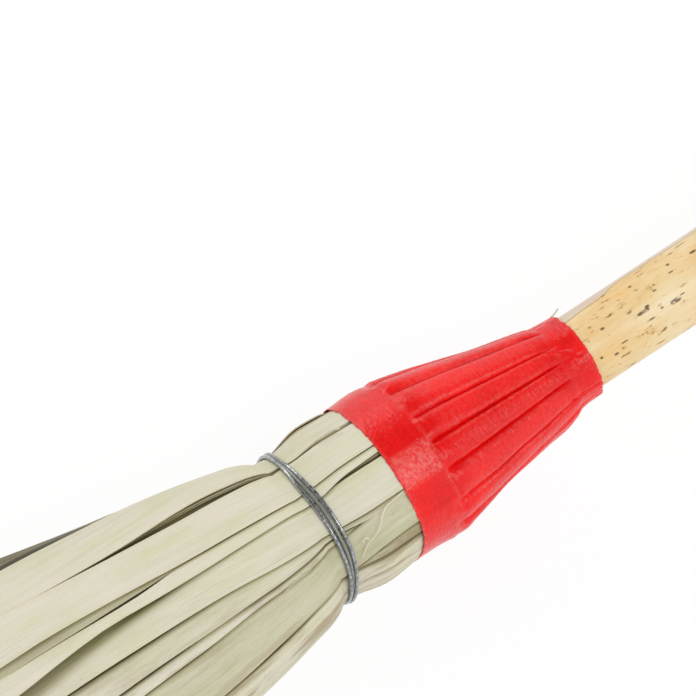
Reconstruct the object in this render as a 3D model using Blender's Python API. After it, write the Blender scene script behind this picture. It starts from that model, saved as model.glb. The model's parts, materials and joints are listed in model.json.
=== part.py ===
"""Palm-leaf broom: a cane handle, two layers of leaf fronds bound round its end, wire ties, nails
and a shrunk film sleeve.

The broom lies on the floor. Its pieces are modelled in the broom's own axis frame, with the outer
binding wire at station zero, the handle towards +X and the leaf tips towards -X. One empty carries
them all and leans that frame so that the leaf tips and the cane's far end both rest on the floor.
"""
from math import atan, cos, pi, radians, sin
import random

import bmesh
import bpy
from mathutils import Matrix, Vector

MM = 0.001

# Fits
PIECE_GAP = 0.3 * MM
FLAT_DEPTH = 0.5 * MM
MERGE_DISTANCE = 0.001 * MM

# Cane handle
CANE_LENGTH = 965 * MM
CANE_BURIED = 62 * MM
CANE_RADIUS = 12.5 * MM
CANE_TOP_RADIUS = 11.6 * MM
CANE_WALL = 4.2 * MM
CANE_TAPER_LENGTH = 45 * MM
CANE_TAPER_RADIUS = 7.0 * MM
CANE_CUP_DEPTH = 12 * MM
CANE_EDGE = 0.8 * MM
CANE_SIDES = 24
NODE_SWELL = 1.3 * MM
NODE_SCAR = 0.5 * MM
NODE_REACH = 6 * MM
NODE_PLACE_SHARES = (0.262, 0.462, 0.668, 0.871)
CANE_BEND = 1.2 * MM
BEND_SHARES = (0.7, -0.9, 1.0, -0.5)

# Neck: distances run from the outer binding wire towards the handle
NECK_RADIUS = 24.4 * MM
BULGE_DISTANCE = 12 * MM
BULGE_RADIUS = 26.2 * MM
SHOULDER_DISTANCE = 40 * MM
SHOULDER_RADIUS = 25.7 * MM
STALK_STEP = 4 * MM
STALK_STEP_DROP = 0.6 * MM
STALK_END_DISTANCE = 93 * MM
STALK_END_THICKNESS = 0.5 * MM
NECK_OFFSET = 0.9 * MM
NECK_OFFSET_ANGLE = radians(204)
BLADE_CROWN = 0.15 * MM
STALK_CROWN = 1.5 * MM
STALK_END_CROWN = 0.15 * MM
STALK_WIDTH_SHARE = 0.88

# Head: lengths run from the outer binding wire towards the leaf tips
HEAD_LENGTH = 335 * MM
HEAD_WIDTH = 212 * MM
HEAD_THICKNESS = 100 * MM
HEAD_BELLY_SHARE = 1.3
HEAD_SWELL = 2.1 * MM
HEAD_SWELL_LENGTH = 104 * MM
HEAD_SWELL_START = 4 * MM
HEART_SHARE = 0.10
STRAND_ROOT_DISTANCE = 25 * MM
STRAND_MIDDLE_SHARE = 0.45

# Leaf layers
OUTER_FRONDS = 16
INNER_FRONDS = 8
LAYER_SPLIT_SHARE = 0.60
OUTER_STRANDS = (4, 3)
INNER_STRANDS = (5, 3)
INNER_END_DISTANCE = 60 * MM
INNER_HEEL_LENGTH = 10 * MM
INNER_STALK_SHARE = 0.90
STRAND_MIDDLE_WIDTH_SHARE = 0.90
STRAND_TIP_WIDTH_SHARE = 0.74
STRAND_MIDDLE_DEPTH_SHARE = 0.86
STRAND_TIP_DEPTH_SHARE = 0.62
STRAND_STRAY_SHARE = 0.80
STRAND_SHORTEST_SHARE = 0.93
STRAND_TIP_SLANT = 5 * MM
LEAF_SEED = 11

# Binding wires
WIRE_RADIUS = 0.575 * MM
WIRE_TURNS = 3
WIRE_PITCH = 1.7 * MM
WIRE_LOOSE = 0.5 * MM
WIRE_LOOSE_ANGLE = radians(114)
WIRE_END_ANGLE = radians(294)
WIRE_TAIL_LENGTH = 14 * MM
WIRE_TAIL_TWISTS = 2
WIRE_TAIL_POINTS = 24
WIRE_CLIMB_ANGLE = radians(40)
WIRE_CLIMB_SHARE = 0.62
WIRE_SPACE = 0.55 * MM
LOOP_POINTS = 24
INNER_WIRE_RADIUS = 0.5 * MM
INNER_WIRE_TURNS = 2
INNER_WIRE_PITCH = 1.5 * MM
INNER_WIRE_DISTANCE = 50 * MM
INNER_WIRE_ANGLE = radians(60)
WAIST_LENGTH = 8 * MM
WAIST_SLOPE_LENGTH = 5 * MM

# Shrunk film sleeve
SLEEVE_START = 25.3 * MM
SLEEVE_LENGTH = 75.2 * MM
FILM_THICKNESS = 0.4 * MM
COLLAR_STEP = 2.5 * MM
RIB_POINTS = 4

# Neck nails
NAIL_SHANK_RADIUS = 1.0 * MM
NAIL_HEAD_RADIUS = 2.2 * MM
NAIL_HEAD_THICKNESS = 1.0 * MM
NAIL_LENGTH = 12.5 * MM
NAIL_POINT_LENGTH = 2.5 * MM
NAIL_SINK = 1.5 * MM
NAIL_SIDES = 12
NAIL_DISTANCES = (74 * MM, 81 * MM)
NAIL_FRONDS = (11, 15)


# Helpers


def clear_scene():
    """Empty the scene so that the script builds the same part each time."""
    for thing in list(bpy.data.objects):
        bpy.data.objects.remove(thing, do_unlink=True)


def hex_to_linear(code):
    """Turn an sRGB colour such as 'D9CFA8' into the linear values that a shader takes."""
    channels = []
    for place in (0, 2, 4):
        value = int(code[place:place + 2], 16) / 255
        linear = value / 12.92 if value <= 0.04045 else ((value + 0.055) / 1.055) ** 2.4
        channels.append(linear)
    return (*channels, 1.0)


def material(name, code, roughness, metallic=0.0):
    """Make a plain Principled material."""
    made = bpy.data.materials.new(name)
    made.use_nodes = True
    shader = made.node_tree.nodes["Principled BSDF"]
    shader.inputs["Base Color"].default_value = hex_to_linear(code)
    shader.inputs["Roughness"].default_value = roughness
    shader.inputs["Metallic"].default_value = metallic
    return made


def add_piece(name, bm, look, axis_frame, sharp=radians(35)):
    """Close a bmesh into an object that hangs under the broom's axis frame."""
    bmesh.ops.recalc_face_normals(bm, faces=bm.faces)
    mesh = bpy.data.meshes.new(name)
    bm.to_mesh(mesh)
    bm.free()
    mesh.shade_smooth()
    mesh.set_sharp_from_angle(angle=sharp)
    mesh.materials.append(look)
    piece = bpy.data.objects.new(name, mesh)
    bpy.context.collection.objects.link(piece)
    piece.parent = axis_frame
    return piece


def along(table, place):
    """Read a value between the rows of a table of (place, value), straight between two rows."""
    rows = sorted(table)
    if place <= rows[0][0]:
        return rows[0][1]
    for (start, first), (end, last) in zip(rows, rows[1:]):
        if place <= end:
            return first + (last - first) * (place - start) / (end - start)
    return rows[-1][1]


def turned(profile, sides):
    """Spin a profile of (station, radius) about the X axis; its ends lie on the axis."""
    bm = bmesh.new()
    line = [bm.verts.new((station, 0, radius)) for station, radius in profile]
    edges = [bm.edges.new(pair) for pair in zip(line, line[1:])]
    bmesh.ops.spin(bm, geom=line + edges, axis=(1, 0, 0), cent=(0, 0, 0), angle=2 * pi, steps=sides)
    bmesh.ops.remove_doubles(bm, verts=bm.verts, dist=MERGE_DISTANCE)
    return bm


# Cane handle


def cane_start():
    """Give the station of the cane's buried end."""
    return -CANE_BURIED


def cane_end():
    """Give the station of the cane's far end."""
    return CANE_LENGTH - CANE_BURIED


def sleeve_end():
    """Give the station of the sleeve's small end."""
    return SLEEVE_START + SLEEVE_LENGTH


def cane_node_stations():
    """Give the stations of the cane's nodes."""
    return [cane_start() + CANE_LENGTH * share for share in NODE_PLACE_SHARES]


def cane_body_radius(station):
    """Give the cane's radius between its nodes: even at the neck, a little thinner at the far end."""
    table = (
        (cane_start(), CANE_TAPER_RADIUS),
        (cane_start() + CANE_TAPER_LENGTH, CANE_RADIUS),
        (cane_node_stations()[0], CANE_RADIUS),
        (cane_end(), CANE_TOP_RADIUS),
    )
    return along(table, station)


def cane_profile():
    """Give the cane's outline: whittled end, nodes with their sheath scars, sawn end with its cup."""
    profile = [(cane_start(), 0)]
    for station in (cane_start(), cane_start() + CANE_TAPER_LENGTH, sleeve_end()):
        profile.append((station, cane_body_radius(station)))
    node_shares = ((-0.7, 0, 0), (-0.25, 0.5, 0), (-0.08, 0, -1), (0.12, 1, 0), (0.4, 0.6, 0), (1, 0, 0))
    for node in cane_node_stations():
        for reach_share, swell_share, scar_share in node_shares:
            station = node + NODE_REACH * reach_share
            swell = NODE_SWELL * swell_share + NODE_SCAR * scar_share
            profile.append((station, cane_body_radius(station) + swell))
    bore = CANE_TOP_RADIUS - CANE_WALL
    profile += [
        (cane_end() - CANE_EDGE, CANE_TOP_RADIUS),
        (cane_end(), CANE_TOP_RADIUS - CANE_EDGE),
        (cane_end(), bore),
        (cane_end() - CANE_CUP_DEPTH, bore),
        (cane_end() - CANE_CUP_DEPTH, 0),
    ]
    return profile


def cane_bend(station):
    """Give the cane's sideways wander, which changes direction at each node."""
    table = [(sleeve_end(), 0), (cane_end(), 0)]
    table += [(node, CANE_BEND * share) for node, share in zip(cane_node_stations(), BEND_SHARES)]
    return along(table, station)


def build_cane(axis_frame):
    """Model the cane as a turned profile that wanders a little sideways."""
    bm = turned(cane_profile(), CANE_SIDES)
    for vert in bm.verts:
        vert.co.y += cane_bend(vert.co.x)
    return add_piece("cane_handle", bm, material("cane", "E6CC98", 0.45), axis_frame)


# The space that the leaves fill


def wire_seat():
    """Give the two stations between which the outer wire lies in the drawn-in leaves."""
    near = WIRE_TURNS * WIRE_PITCH / 2 + WIRE_RADIUS + PIECE_GAP
    return -near - WIRE_LOOSE, near


def neck_radius(station):
    """Give the radius of the leaf layer's outside from the wire to the ends of the stalks."""
    stalk_end = CANE_RADIUS + PIECE_GAP + STALK_END_THICKNESS + NECK_OFFSET
    table = (
        (wire_seat()[1], NECK_RADIUS),
        (BULGE_DISTANCE, BULGE_RADIUS),
        (SHOULDER_DISTANCE, SHOULDER_RADIUS),
        (SHOULDER_DISTANCE + STALK_STEP, SHOULDER_RADIUS - STALK_STEP_DROP),
        (STALK_END_DISTANCE, stalk_end),
    )
    return along(table, station)


def head_swell(distance):
    """Give how far the leaves spring out past the wire, at a distance from its seat."""
    shares = ((0, 0), (0.04, 0.76), (0.21, 1), (0.39, 0.86), (0.58, 0.48), (1, 0))
    table = [(HEAD_SWELL_LENGTH * place_share, HEAD_SWELL * share) for place_share, share in shares]
    return along(table, distance)


def outer_axes(station):
    """Give the half width and half height of the leaf layer's outside."""
    seat_start = wire_seat()[0]
    if station >= seat_start:
        return neck_radius(station), neck_radius(station)
    share = (seat_start - station) / (seat_start + HEAD_LENGTH)
    belly = share * (HEAD_BELLY_SHARE + (1 - HEAD_BELLY_SHARE) * share)
    swell = head_swell(seat_start - station)
    wide = NECK_RADIUS + (HEAD_WIDTH / 2 - NECK_RADIUS) * share + swell
    high = NECK_RADIUS + (HEAD_THICKNESS / 2 - NECK_RADIUS) * belly + swell
    return wide, high


def core_axes(station):
    """Give the half width and half height of the space that the leaves leave for the cane."""
    core = CANE_RADIUS + PIECE_GAP
    if station >= -STRAND_ROOT_DISTANCE:
        return core, core
    share = (-station - STRAND_ROOT_DISTANCE) / (HEAD_LENGTH - STRAND_ROOT_DISTANCE)
    wide = core + (HEART_SHARE * HEAD_WIDTH / 2 - core) * share
    high = core + (HEART_SHARE * HEAD_THICKNESS / 2 - core) * share
    return wide, high


def neck_offset(station):
    """Give the stalks' shift to one side of the cane, which grows towards the handle."""
    table = ((SHOULDER_DISTANCE + STALK_STEP, 0), (STALK_END_DISTANCE, NECK_OFFSET))
    shift = along(table, station)
    return shift * cos(NECK_OFFSET_ANGLE), shift * sin(NECK_OFFSET_ANGLE)


def crown_drop(station):
    """Give how far a leaf's edges lie below its middle: slight on blades, more on stalks."""
    table = (
        (0, BLADE_CROWN),
        (SHOULDER_DISTANCE, BLADE_CROWN),
        (SHOULDER_DISTANCE + STALK_STEP, STALK_CROWN),
        (STALK_END_DISTANCE, STALK_END_CROWN),
    )
    return along(table, station)


def layer_point(station, angle, depth_share, drop, lift=0):
    """Place a point in the leaf layers: depth 0 lies on the cane, depth 1 on the outside."""
    wide, high = outer_axes(station)
    core_wide, core_high = core_axes(station)
    shift_y, shift_z = neck_offset(station)
    reach_y = core_wide + (wide - core_wide) * depth_share - drop * depth_share + lift
    reach_z = core_high + (high - core_high) * depth_share - drop * depth_share + lift
    y = reach_y * cos(angle) + shift_y * depth_share
    z = reach_z * sin(angle) + shift_z * depth_share
    return Vector((station, y, z))


# Leaf fronds


def outer_depths(station):
    """Give the depths between which an outer frond lies."""
    wide, _ = outer_axes(max(station, 0))
    half_gap_share = PIECE_GAP / 2 / (wide - CANE_RADIUS - PIECE_GAP)
    inside = LAYER_SPLIT_SHARE + half_gap_share
    heel_start = INNER_END_DISTANCE + PIECE_GAP
    heel = along(((heel_start, inside), (heel_start + INNER_HEEL_LENGTH, 0)), station)
    return heel, 1


def inner_depths(station):
    """Give the depths between which an inner frond lies, drawn in under the inner wire."""
    wide, _ = outer_axes(max(station, 0))
    thickness = wide - CANE_RADIUS - PIECE_GAP
    outside = LAYER_SPLIT_SHARE - PIECE_GAP / 2 / thickness
    waist = 2 * INNER_WIRE_RADIUS + 2 * PIECE_GAP
    near = WAIST_LENGTH / 2
    far = near + WAIST_SLOPE_LENGTH
    drawn_in = along(((near, waist / thickness), (far, 0)), abs(station - INNER_WIRE_DISTANCE))
    return 0, outside - drawn_in


def outer_width(station):
    """Give an outer frond's share of its sector: the blade fills it, the stalk is narrower."""
    step_end = SHOULDER_DISTANCE + STALK_STEP
    return along(((SHOULDER_DISTANCE, 1), (step_end, STALK_WIDTH_SHARE)), station)


def inner_width(station):
    """Give an inner frond's share of its sector."""
    return along(((0, 1), (SHOULDER_DISTANCE, INNER_STALK_SHARE)), station)


def outer_stations():
    """Give the stations of an outer frond's rings, from the stalk's end to the strands' roots."""
    heel_start = INNER_END_DISTANCE + PIECE_GAP
    return (
        STALK_END_DISTANCE,
        heel_start + INNER_HEEL_LENGTH,
        heel_start,
        SHOULDER_DISTANCE + STALK_STEP,
        SHOULDER_DISTANCE,
        BULGE_DISTANCE,
        wire_seat()[1],
        wire_seat()[0],
        wire_seat()[0] - HEAD_SWELL_START,
        -STRAND_ROOT_DISTANCE,
    )


def inner_stations():
    """Give the stations of an inner frond's rings."""
    waist = INNER_WIRE_DISTANCE
    return (
        INNER_END_DISTANCE,
        waist + WAIST_LENGTH / 2,
        waist - WAIST_LENGTH / 2,
        waist - WAIST_LENGTH / 2 - WAIST_SLOPE_LENGTH,
        wire_seat()[1],
        wire_seat()[0],
        wire_seat()[0] - HEAD_SWELL_START,
        -STRAND_ROOT_DISTANCE,
    )


def grow_backing(stations, cells):
    """Extrude a grid of cells through the stations; its x and y are places across and in depth."""
    bm = bmesh.new()
    bmesh.ops.create_grid(bm, x_segments=cells[0], y_segments=cells[1], size=1)
    bmesh.ops.translate(bm, verts=bm.verts, vec=(0, 0, stations[0]))
    faces = list(bm.faces)
    for start, end in zip(stations, stations[1:]):
        grown = bmesh.ops.extrude_face_region(bm, geom=faces)["geom"]
        verts = [item for item in grown if isinstance(item, bmesh.types.BMVert)]
        bmesh.ops.translate(bm, verts=verts, vec=(0, 0, end - start))
        if start != stations[0]:
            bmesh.ops.delete(bm, geom=faces, context="FACES")
        faces = [item for item in grown if isinstance(item, bmesh.types.BMFace)]
    return bm, faces


def shrink_face(face, centre, size):
    """Set a face's size about a centre, given as shares across and in depth."""
    middle = face.calc_center_median()
    for vert in face.verts:
        vert.co.x = centre[0] + (vert.co.x - middle.x) * size[0]
        vert.co.y = centre[1] + (vert.co.y - middle.y) * size[1]


def in_order(faces):
    """Sort cells by their place across and in depth, so that each run builds the same strands."""
    return sorted(faces, key=lambda face: tuple(round(value, 4) for value in face.calc_center_median()[:2]))


def fold_sides(caps):
    """Fold the sides of strands along matching diagonals, so that neighbours never cut into each other."""
    sides = {face for cap in caps for edge in cap.edges for face in edge.link_faces} - set(caps)
    for side in sides:
        corners = sorted(side.verts, key=lambda vert: vert.co.z)
        low = min(corners[2:], key=lambda vert: vert.co.x + vert.co.y)
        high = max(corners[:2], key=lambda vert: vert.co.x + vert.co.y)
        bmesh.utils.face_split(side, low, high)


def grow_strands(bm, ends, cells, chance):
    """Extrude every cell of the backing on its own into one strand that stays inside its cell."""
    middle_station = -STRAND_ROOT_DISTANCE - (HEAD_LENGTH - STRAND_ROOT_DISTANCE) * STRAND_MIDDLE_SHARE
    middle_size = (STRAND_MIDDLE_WIDTH_SHARE, STRAND_MIDDLE_DEPTH_SHARE)
    tip_size = (STRAND_TIP_WIDTH_SHARE, STRAND_TIP_DEPTH_SHARE)
    roots = in_order(ends)
    homes = [face.calc_center_median() for face in roots]
    middles = in_order(bmesh.ops.extrude_discrete_faces(bm, faces=roots)["faces"])
    for face, home in zip(middles, homes):
        shrink_face(face, home, middle_size)
        for vert in face.verts:
            vert.co.z = middle_station
    fold_sides(middles)
    tips = in_order(bmesh.ops.extrude_discrete_faces(bm, faces=middles)["faces"])
    for face, home in zip(tips, homes):
        size = [tip / middle for tip, middle in zip(tip_size, middle_size)]
        room = [(1 - tip) / count * STRAND_STRAY_SHARE for tip, count in zip(tip_size, cells)]
        centre = [home[axis] + room[axis] * chance.uniform(-1, 1) for axis in (0, 1)]
        shrink_face(face, centre, size)
        station = -HEAD_LENGTH * chance.uniform(STRAND_SHORTEST_SHARE, 1)
        slant = STRAND_TIP_SLANT * chance.uniform(-1, 1)
        half_width = tip_size[0] / cells[0]
        for vert in face.verts:
            vert.co.z = station + slant * (vert.co.x - centre[0]) / half_width / 2
    fold_sides(tips)


def wrap_frond(bm, sector, half_angle, depths, width, crowned):
    """Bend a flat frond of shares round the neck, into its own sector and layer."""
    for vert in bm.verts:
        across, depth, station = vert.co.x, (vert.co.y + 1) / 2, vert.co.z
        inside, outside = depths(station)
        core, _ = core_axes(max(station, 0))
        outer, _ = outer_axes(max(station, 0))
        layer_radius = core + (outer - core) * inside
        reach = (half_angle - PIECE_GAP / 2 / layer_radius) * width(station)
        place = across * width(station)
        drop = crown_drop(station) * place * place * depth if crowned else 0
        depth_share = inside + (outside - inside) * depth
        vert.co = layer_point(station, sector + across * reach, depth_share, drop)


def cut_floor(bm, point, normal):
    """Cut a frond flat where it would reach below the floor."""
    geometry = bm.verts[:] + bm.edges[:] + bm.faces[:]
    cut = bmesh.ops.bisect_plane(
        bm, geom=geometry, dist=MERGE_DISTANCE, plane_co=point, plane_no=normal, clear_outer=True
    )
    rim = [item for item in cut["geom_cut"] if isinstance(item, bmesh.types.BMEdge)]
    if rim:
        bmesh.ops.holes_fill(bm, edges=rim, sides=0)


def make_frond(count, number, stations, cells, depths, width, crowned):
    """Model one frond: stalk and blade as one backing, split into strands towards the tips."""
    chance = random.Random(LEAF_SEED * count + number)
    bm, faces = grow_backing(stations, cells)
    grow_strands(bm, faces, cells, chance)
    wrap_frond(bm, 2 * pi * number / count, pi / count, depths, width, crowned)
    return bm


def make_fronds():
    """Model both leaf layers, each frond as a named bmesh."""
    fronds = {}
    for number in range(OUTER_FRONDS):
        name = f"outer_frond_{number + 1:02d}"
        fronds[name] = make_frond(
            OUTER_FRONDS, number, outer_stations(), OUTER_STRANDS, outer_depths, outer_width, True
        )
    for number in range(INNER_FRONDS):
        name = f"inner_frond_{number + 1:02d}"
        fronds[name] = make_frond(
            INNER_FRONDS, number, inner_stations(), INNER_STRANDS, inner_depths, inner_width, False
        )
    return fronds


def rest_on_floor(fronds):
    """Find the floor under the lowest strand and the cane's far end; return a point and the slope."""
    rim = Vector((cane_end() - CANE_EDGE, 0, -CANE_TOP_RADIUS))
    verts = [vert.co for bm in fronds.values() for vert in bm.verts if vert.co.x < 0]
    lowest = max(verts, key=lambda place: (rim.z - place.z) / (rim.x - place.x))
    slope = (rim.z - lowest.z - FLAT_DEPTH) / (rim.x - lowest.x)
    return rim, slope


def build_fronds(fronds, rim, slope, axis_frame):
    """Cut the fronds flat on the floor and place them."""
    tones = ("CFCAB2", "C6C2A4", "D6D0B8", "BDB99A")
    normal = Vector((slope, 0, -1)).normalized()
    pieces = {}
    for order, (name, bm) in enumerate(fronds.items()):
        cut_floor(bm, rim, normal)
        look = material("palm_leaf_" + name[-8:], tones[order % len(tones)], 0.6)
        pieces[name] = add_piece(name, bm, look, axis_frame)
    return pieces


# Binding wires


def ring_point(radius, angle, station):
    """Give a point on a ring round the broom's axis."""
    return Vector((station, radius * cos(angle), radius * sin(angle)))


def winding_radius(leaf_radius, wire_radius):
    """Give the radius of a winding's points, so that its chords clear the leaves under them."""
    return (leaf_radius + PIECE_GAP + wire_radius) / cos(pi / LOOP_POINTS)


def smooth(share):
    """Ease a share from 0 to 1."""
    held = min(max(share, 0), 1)
    return held * held * (3 - 2 * held)


def outer_wire_loop(loop_radius, tail_radius, twist_radius):
    """Give the points of the outer wire's turns; the last one bows towards the head in front."""
    points = []
    half = WIRE_TURNS * WIRE_PITCH / 2
    steps = WIRE_TURNS * LOOP_POINTS
    full = 2 * pi * WIRE_TURNS
    for step in range(steps + 1):
        turned_angle = full * step / steps
        angle = WIRE_END_ANGLE + turned_angle
        station = half - WIRE_PITCH * turned_angle / (2 * pi)
        if turned_angle > full - 2 * pi:
            bow = max(cos(angle - WIRE_LOOSE_ANGLE), 0)
            station -= WIRE_LOOSE * bow
        climb = 1 - (full - turned_angle) / WIRE_CLIMB_ANGLE
        radius = loop_radius + (tail_radius - loop_radius) * smooth(climb / WIRE_CLIMB_SHARE)
        station += (half - twist_radius) * smooth((climb - 1) / WIRE_CLIMB_SHARE + 1)
        points.append(ring_point(radius, angle, station))
    return points


def wire_tail(side, tail_radius, twist_radius):
    """Give one strand of the twisted tail, from its root outwards along the ring."""
    points = []
    for step in range(WIRE_TAIL_POINTS + 1):
        share = step / WIRE_TAIL_POINTS
        phase = 2 * pi * WIRE_TAIL_TWISTS * share
        radius = tail_radius + side * twist_radius * sin(phase)
        station = side * twist_radius * cos(phase)
        angle = WIRE_END_ANGLE + WIRE_TAIL_LENGTH * share / tail_radius
        points.append(ring_point(radius, angle, station))
    return points


def outer_wire_points():
    """Give the outer wire's whole path: tail strand, hairpin, turns, climb and tail strand."""
    loop_radius = winding_radius(NECK_RADIUS, WIRE_RADIUS)
    twist_radius = WIRE_RADIUS + WIRE_SPACE / 2
    tail_radius = loop_radius + 2 * WIRE_RADIUS + WIRE_SPACE + twist_radius
    loop = outer_wire_loop(loop_radius, tail_radius, twist_radius)
    first = wire_tail(1, tail_radius, twist_radius)
    second = wire_tail(-1, tail_radius, twist_radius)
    bend = (tail_radius - loop_radius) / 2
    middle = (tail_radius + loop_radius) / 2
    hairpin = []
    for share in (0.25, 0.5, 0.75):
        station = first[0].x + (loop[0].x - first[0].x) * share
        radius = middle + bend * cos(pi * share)
        hairpin.append(ring_point(radius, WIRE_END_ANGLE - bend * sin(pi * share) / middle, station))
    return first[::-1] + hairpin + loop + second[1:]


def inner_wire_points():
    """Give the inner wire's turns, which lie in the inner stalks' waist."""
    core, _ = core_axes(INNER_WIRE_DISTANCE)
    outer, _ = outer_axes(INNER_WIRE_DISTANCE)
    _, outside = inner_depths(INNER_WIRE_DISTANCE)
    radius = winding_radius(core + (outer - core) * outside, INNER_WIRE_RADIUS)
    steps = INNER_WIRE_TURNS * LOOP_POINTS
    points = []
    for step in range(steps + 1):
        turned_share = step / steps
        angle = INNER_WIRE_ANGLE + 2 * pi * INNER_WIRE_TURNS * turned_share
        station = INNER_WIRE_DISTANCE + INNER_WIRE_PITCH * INNER_WIRE_TURNS * (turned_share - 0.5)
        points.append(ring_point(radius, angle, station))
    return points


def least_gap(points, wire_radius):
    """Measure the least gap between parts of a wire that aren't neighbours along it."""
    travelled = [0]
    for start, end in zip(points, points[1:]):
        travelled.append(travelled[-1] + (end - start).length)
    apart = 2 * pi * wire_radius
    gaps = []
    for first, place in enumerate(points):
        for second in range(first + 1, len(points)):
            if travelled[second] - travelled[first] > apart:
                gaps.append((points[second] - place).length)
    return min(gaps) - 2 * wire_radius


def build_wire(name, points, wire_radius, look, axis_frame):
    """Model a wire as one unbroken tube through its points."""
    curve = bpy.data.curves.new(name, "CURVE")
    curve.dimensions = "3D"
    curve.bevel_depth = wire_radius
    curve.bevel_resolution = 1
    curve.use_fill_caps = True
    spline = curve.splines.new("POLY")
    spline.points.add(len(points) - 1)
    for knot, place in zip(spline.points, points):
        knot.co = (*place, 1)
        knot.radius = 1
    curve.materials.append(look)
    wire = bpy.data.objects.new(name, curve)
    bpy.context.collection.objects.link(wire)
    wire.parent = axis_frame
    print(name, "least gap to itself, mm:", round(least_gap(points, wire_radius) / MM, 3))
    return wire


# Shrunk film sleeve


def film_point(station, angle):
    """Place a point of the film's inner face: on the leaves' crowns, and on the cane past them."""
    if station > STALK_END_DISTANCE:
        return layer_point(station, angle, 1, STALK_END_THICKNESS, PIECE_GAP)
    step = 2 * pi / OUTER_FRONDS
    across = (angle / step - round(angle / step)) * 2
    return layer_point(station, angle, 1, crown_drop(station) * across * across, PIECE_GAP)


def build_sleeve(axis_frame):
    """Model the sleeve: a ring of edges extruded through the stations, then given its thickness."""
    stations = (
        SLEEVE_START,
        SHOULDER_DISTANCE,
        SHOULDER_DISTANCE + STALK_STEP,
        (SHOULDER_DISTANCE + STALK_STEP + STALK_END_DISTANCE) / 2,
        STALK_END_DISTANCE,
        STALK_END_DISTANCE + COLLAR_STEP,
        sleeve_end(),
    )
    sides = OUTER_FRONDS * RIB_POINTS
    bm = bmesh.new()
    ring = bmesh.ops.create_circle(bm, segments=sides, radius=NECK_RADIUS)["verts"]
    rings = [list(ring)]
    edges = list(bm.edges)
    for _ in stations[1:]:
        grown = bmesh.ops.extrude_edge_only(bm, edges=edges)["geom"]
        rings.append([item for item in grown if isinstance(item, bmesh.types.BMVert)])
        edges = [item for item in grown if isinstance(item, bmesh.types.BMEdge)]
    for station, verts in zip(stations, rings):
        for order, vert in enumerate(verts):
            vert.co = film_point(station, 2 * pi * order / sides)
    sleeve = add_piece("shrink_sleeve", bm, material("red_film", "D8232A", 0.25), axis_frame)
    wall = sleeve.modifiers.new("film", "SOLIDIFY")
    wall.thickness = FILM_THICKNESS
    wall.offset = 1
    return sleeve


# Neck nails


def nail_profile(growth):
    """Give a nail's outline along its own axis, made larger all round by a growth."""
    top = growth
    under_head = -NAIL_HEAD_THICKNESS - growth
    shank = NAIL_SHANK_RADIUS + growth
    tip = -NAIL_LENGTH - growth
    return [
        (top, 0),
        (top, NAIL_HEAD_RADIUS + growth),
        (under_head, NAIL_HEAD_RADIUS + growth),
        (under_head, shank),
        (tip + NAIL_POINT_LENGTH, shank),
        (tip, 0),
    ]


def nail_place(number, distance):
    """Give a nail's placing: across the axis, its head sunk under the stalk's crown."""
    angle = 2 * pi * number / OUTER_FRONDS
    crest = layer_point(distance, angle, 1, 0)
    outward = Vector((0, cos(angle), sin(angle)))
    head = crest - outward * NAIL_SINK
    along_axis = Vector((1, 0, 0))
    side = outward.cross(along_axis)
    turn = Matrix((outward, side, outward.cross(side))).transposed().to_4x4()
    return Matrix.Translation(head) @ turn


def drill(piece, cutter, name):
    """Cut a nail's hole."""
    hole = piece.modifiers.new(name, "BOOLEAN")
    hole.operation = "DIFFERENCE"
    hole.object = cutter


def build_nails(pieces, cane, axis_frame):
    """Model the nails and cut their holes through a stalk and into the cane."""
    steel = material("nail_steel", "8D8F92", 0.4, 1.0)
    for order, (number, distance) in enumerate(zip(NAIL_FRONDS, NAIL_DISTANCES)):
        name = f"neck_nail_{order + 1}"
        place = nail_place(number, distance)
        nail = add_piece(name, turned(nail_profile(0), NAIL_SIDES), steel, axis_frame)
        nail.matrix_local = place
        cutter = add_piece(name + "_hole", turned(nail_profile(PIECE_GAP), NAIL_SIDES), steel, axis_frame)
        cutter.matrix_local = place
        cutter.hide_render = True
        cutter.display_type = "WIRE"
        drill(pieces[f"outer_frond_{number + 1:02d}"], cutter, name)
        drill(cane, cutter, name)


# Placing the whole broom


def lay_down(axis_frame, slope):
    """Lean the axis frame onto the floor and centre the part over the origin."""
    lean = Matrix.Rotation(atan(slope), 4, "Y")
    places = []
    for thing in axis_frame.children:
        if thing.type == "MESH" and not thing.hide_render:
            places += [lean @ thing.matrix_local @ vert.co for vert in thing.data.vertices]
    lows = [min(place[axis] for place in places) for axis in range(3)]
    highs = [max(place[axis] for place in places) for axis in range(3)]
    shift = Vector((-(lows[0] + highs[0]) / 2, -(lows[1] + highs[1]) / 2, -lows[2]))
    axis_frame.matrix_world = Matrix.Translation(shift) @ lean
    bpy.context.view_layer.update()
    print("size, mm:", [round((high - low) / MM, 2) for low, high in zip(lows, highs)])
    return axis_frame.matrix_world


def print_places(placed, fronds_cut):
    """Print the places and directions that a user of the part needs."""
    rim_middle = CANE_TOP_RADIUS - (CANE_WALL + CANE_EDGE) / 2
    end_point = placed @ Vector((cane_end(), 0, rim_middle))
    direction = placed.to_3x3() @ Vector((1, 0, 0))
    print("cane end point, m:", [round(value, 6) for value in end_point])
    print("cane end direction:", [round(value, 6) for value in direction])
    for name, piece in fronds_cut.items():
        for face in piece.data.polygons:
            corners = [placed @ piece.data.vertices[corner].co for corner in face.vertices]
            if max(corner.z for corner in corners) < MERGE_DISTANCE:
                middle = sum(corners, Vector()) / len(corners)
                print(name, "floor face middle, m:", [round(value, 6) for value in middle])
    wire_place = placed @ Vector((0, 0, 0))
    print("binding wire on the axis, m:", [round(value, 6) for value in wire_place])


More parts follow.
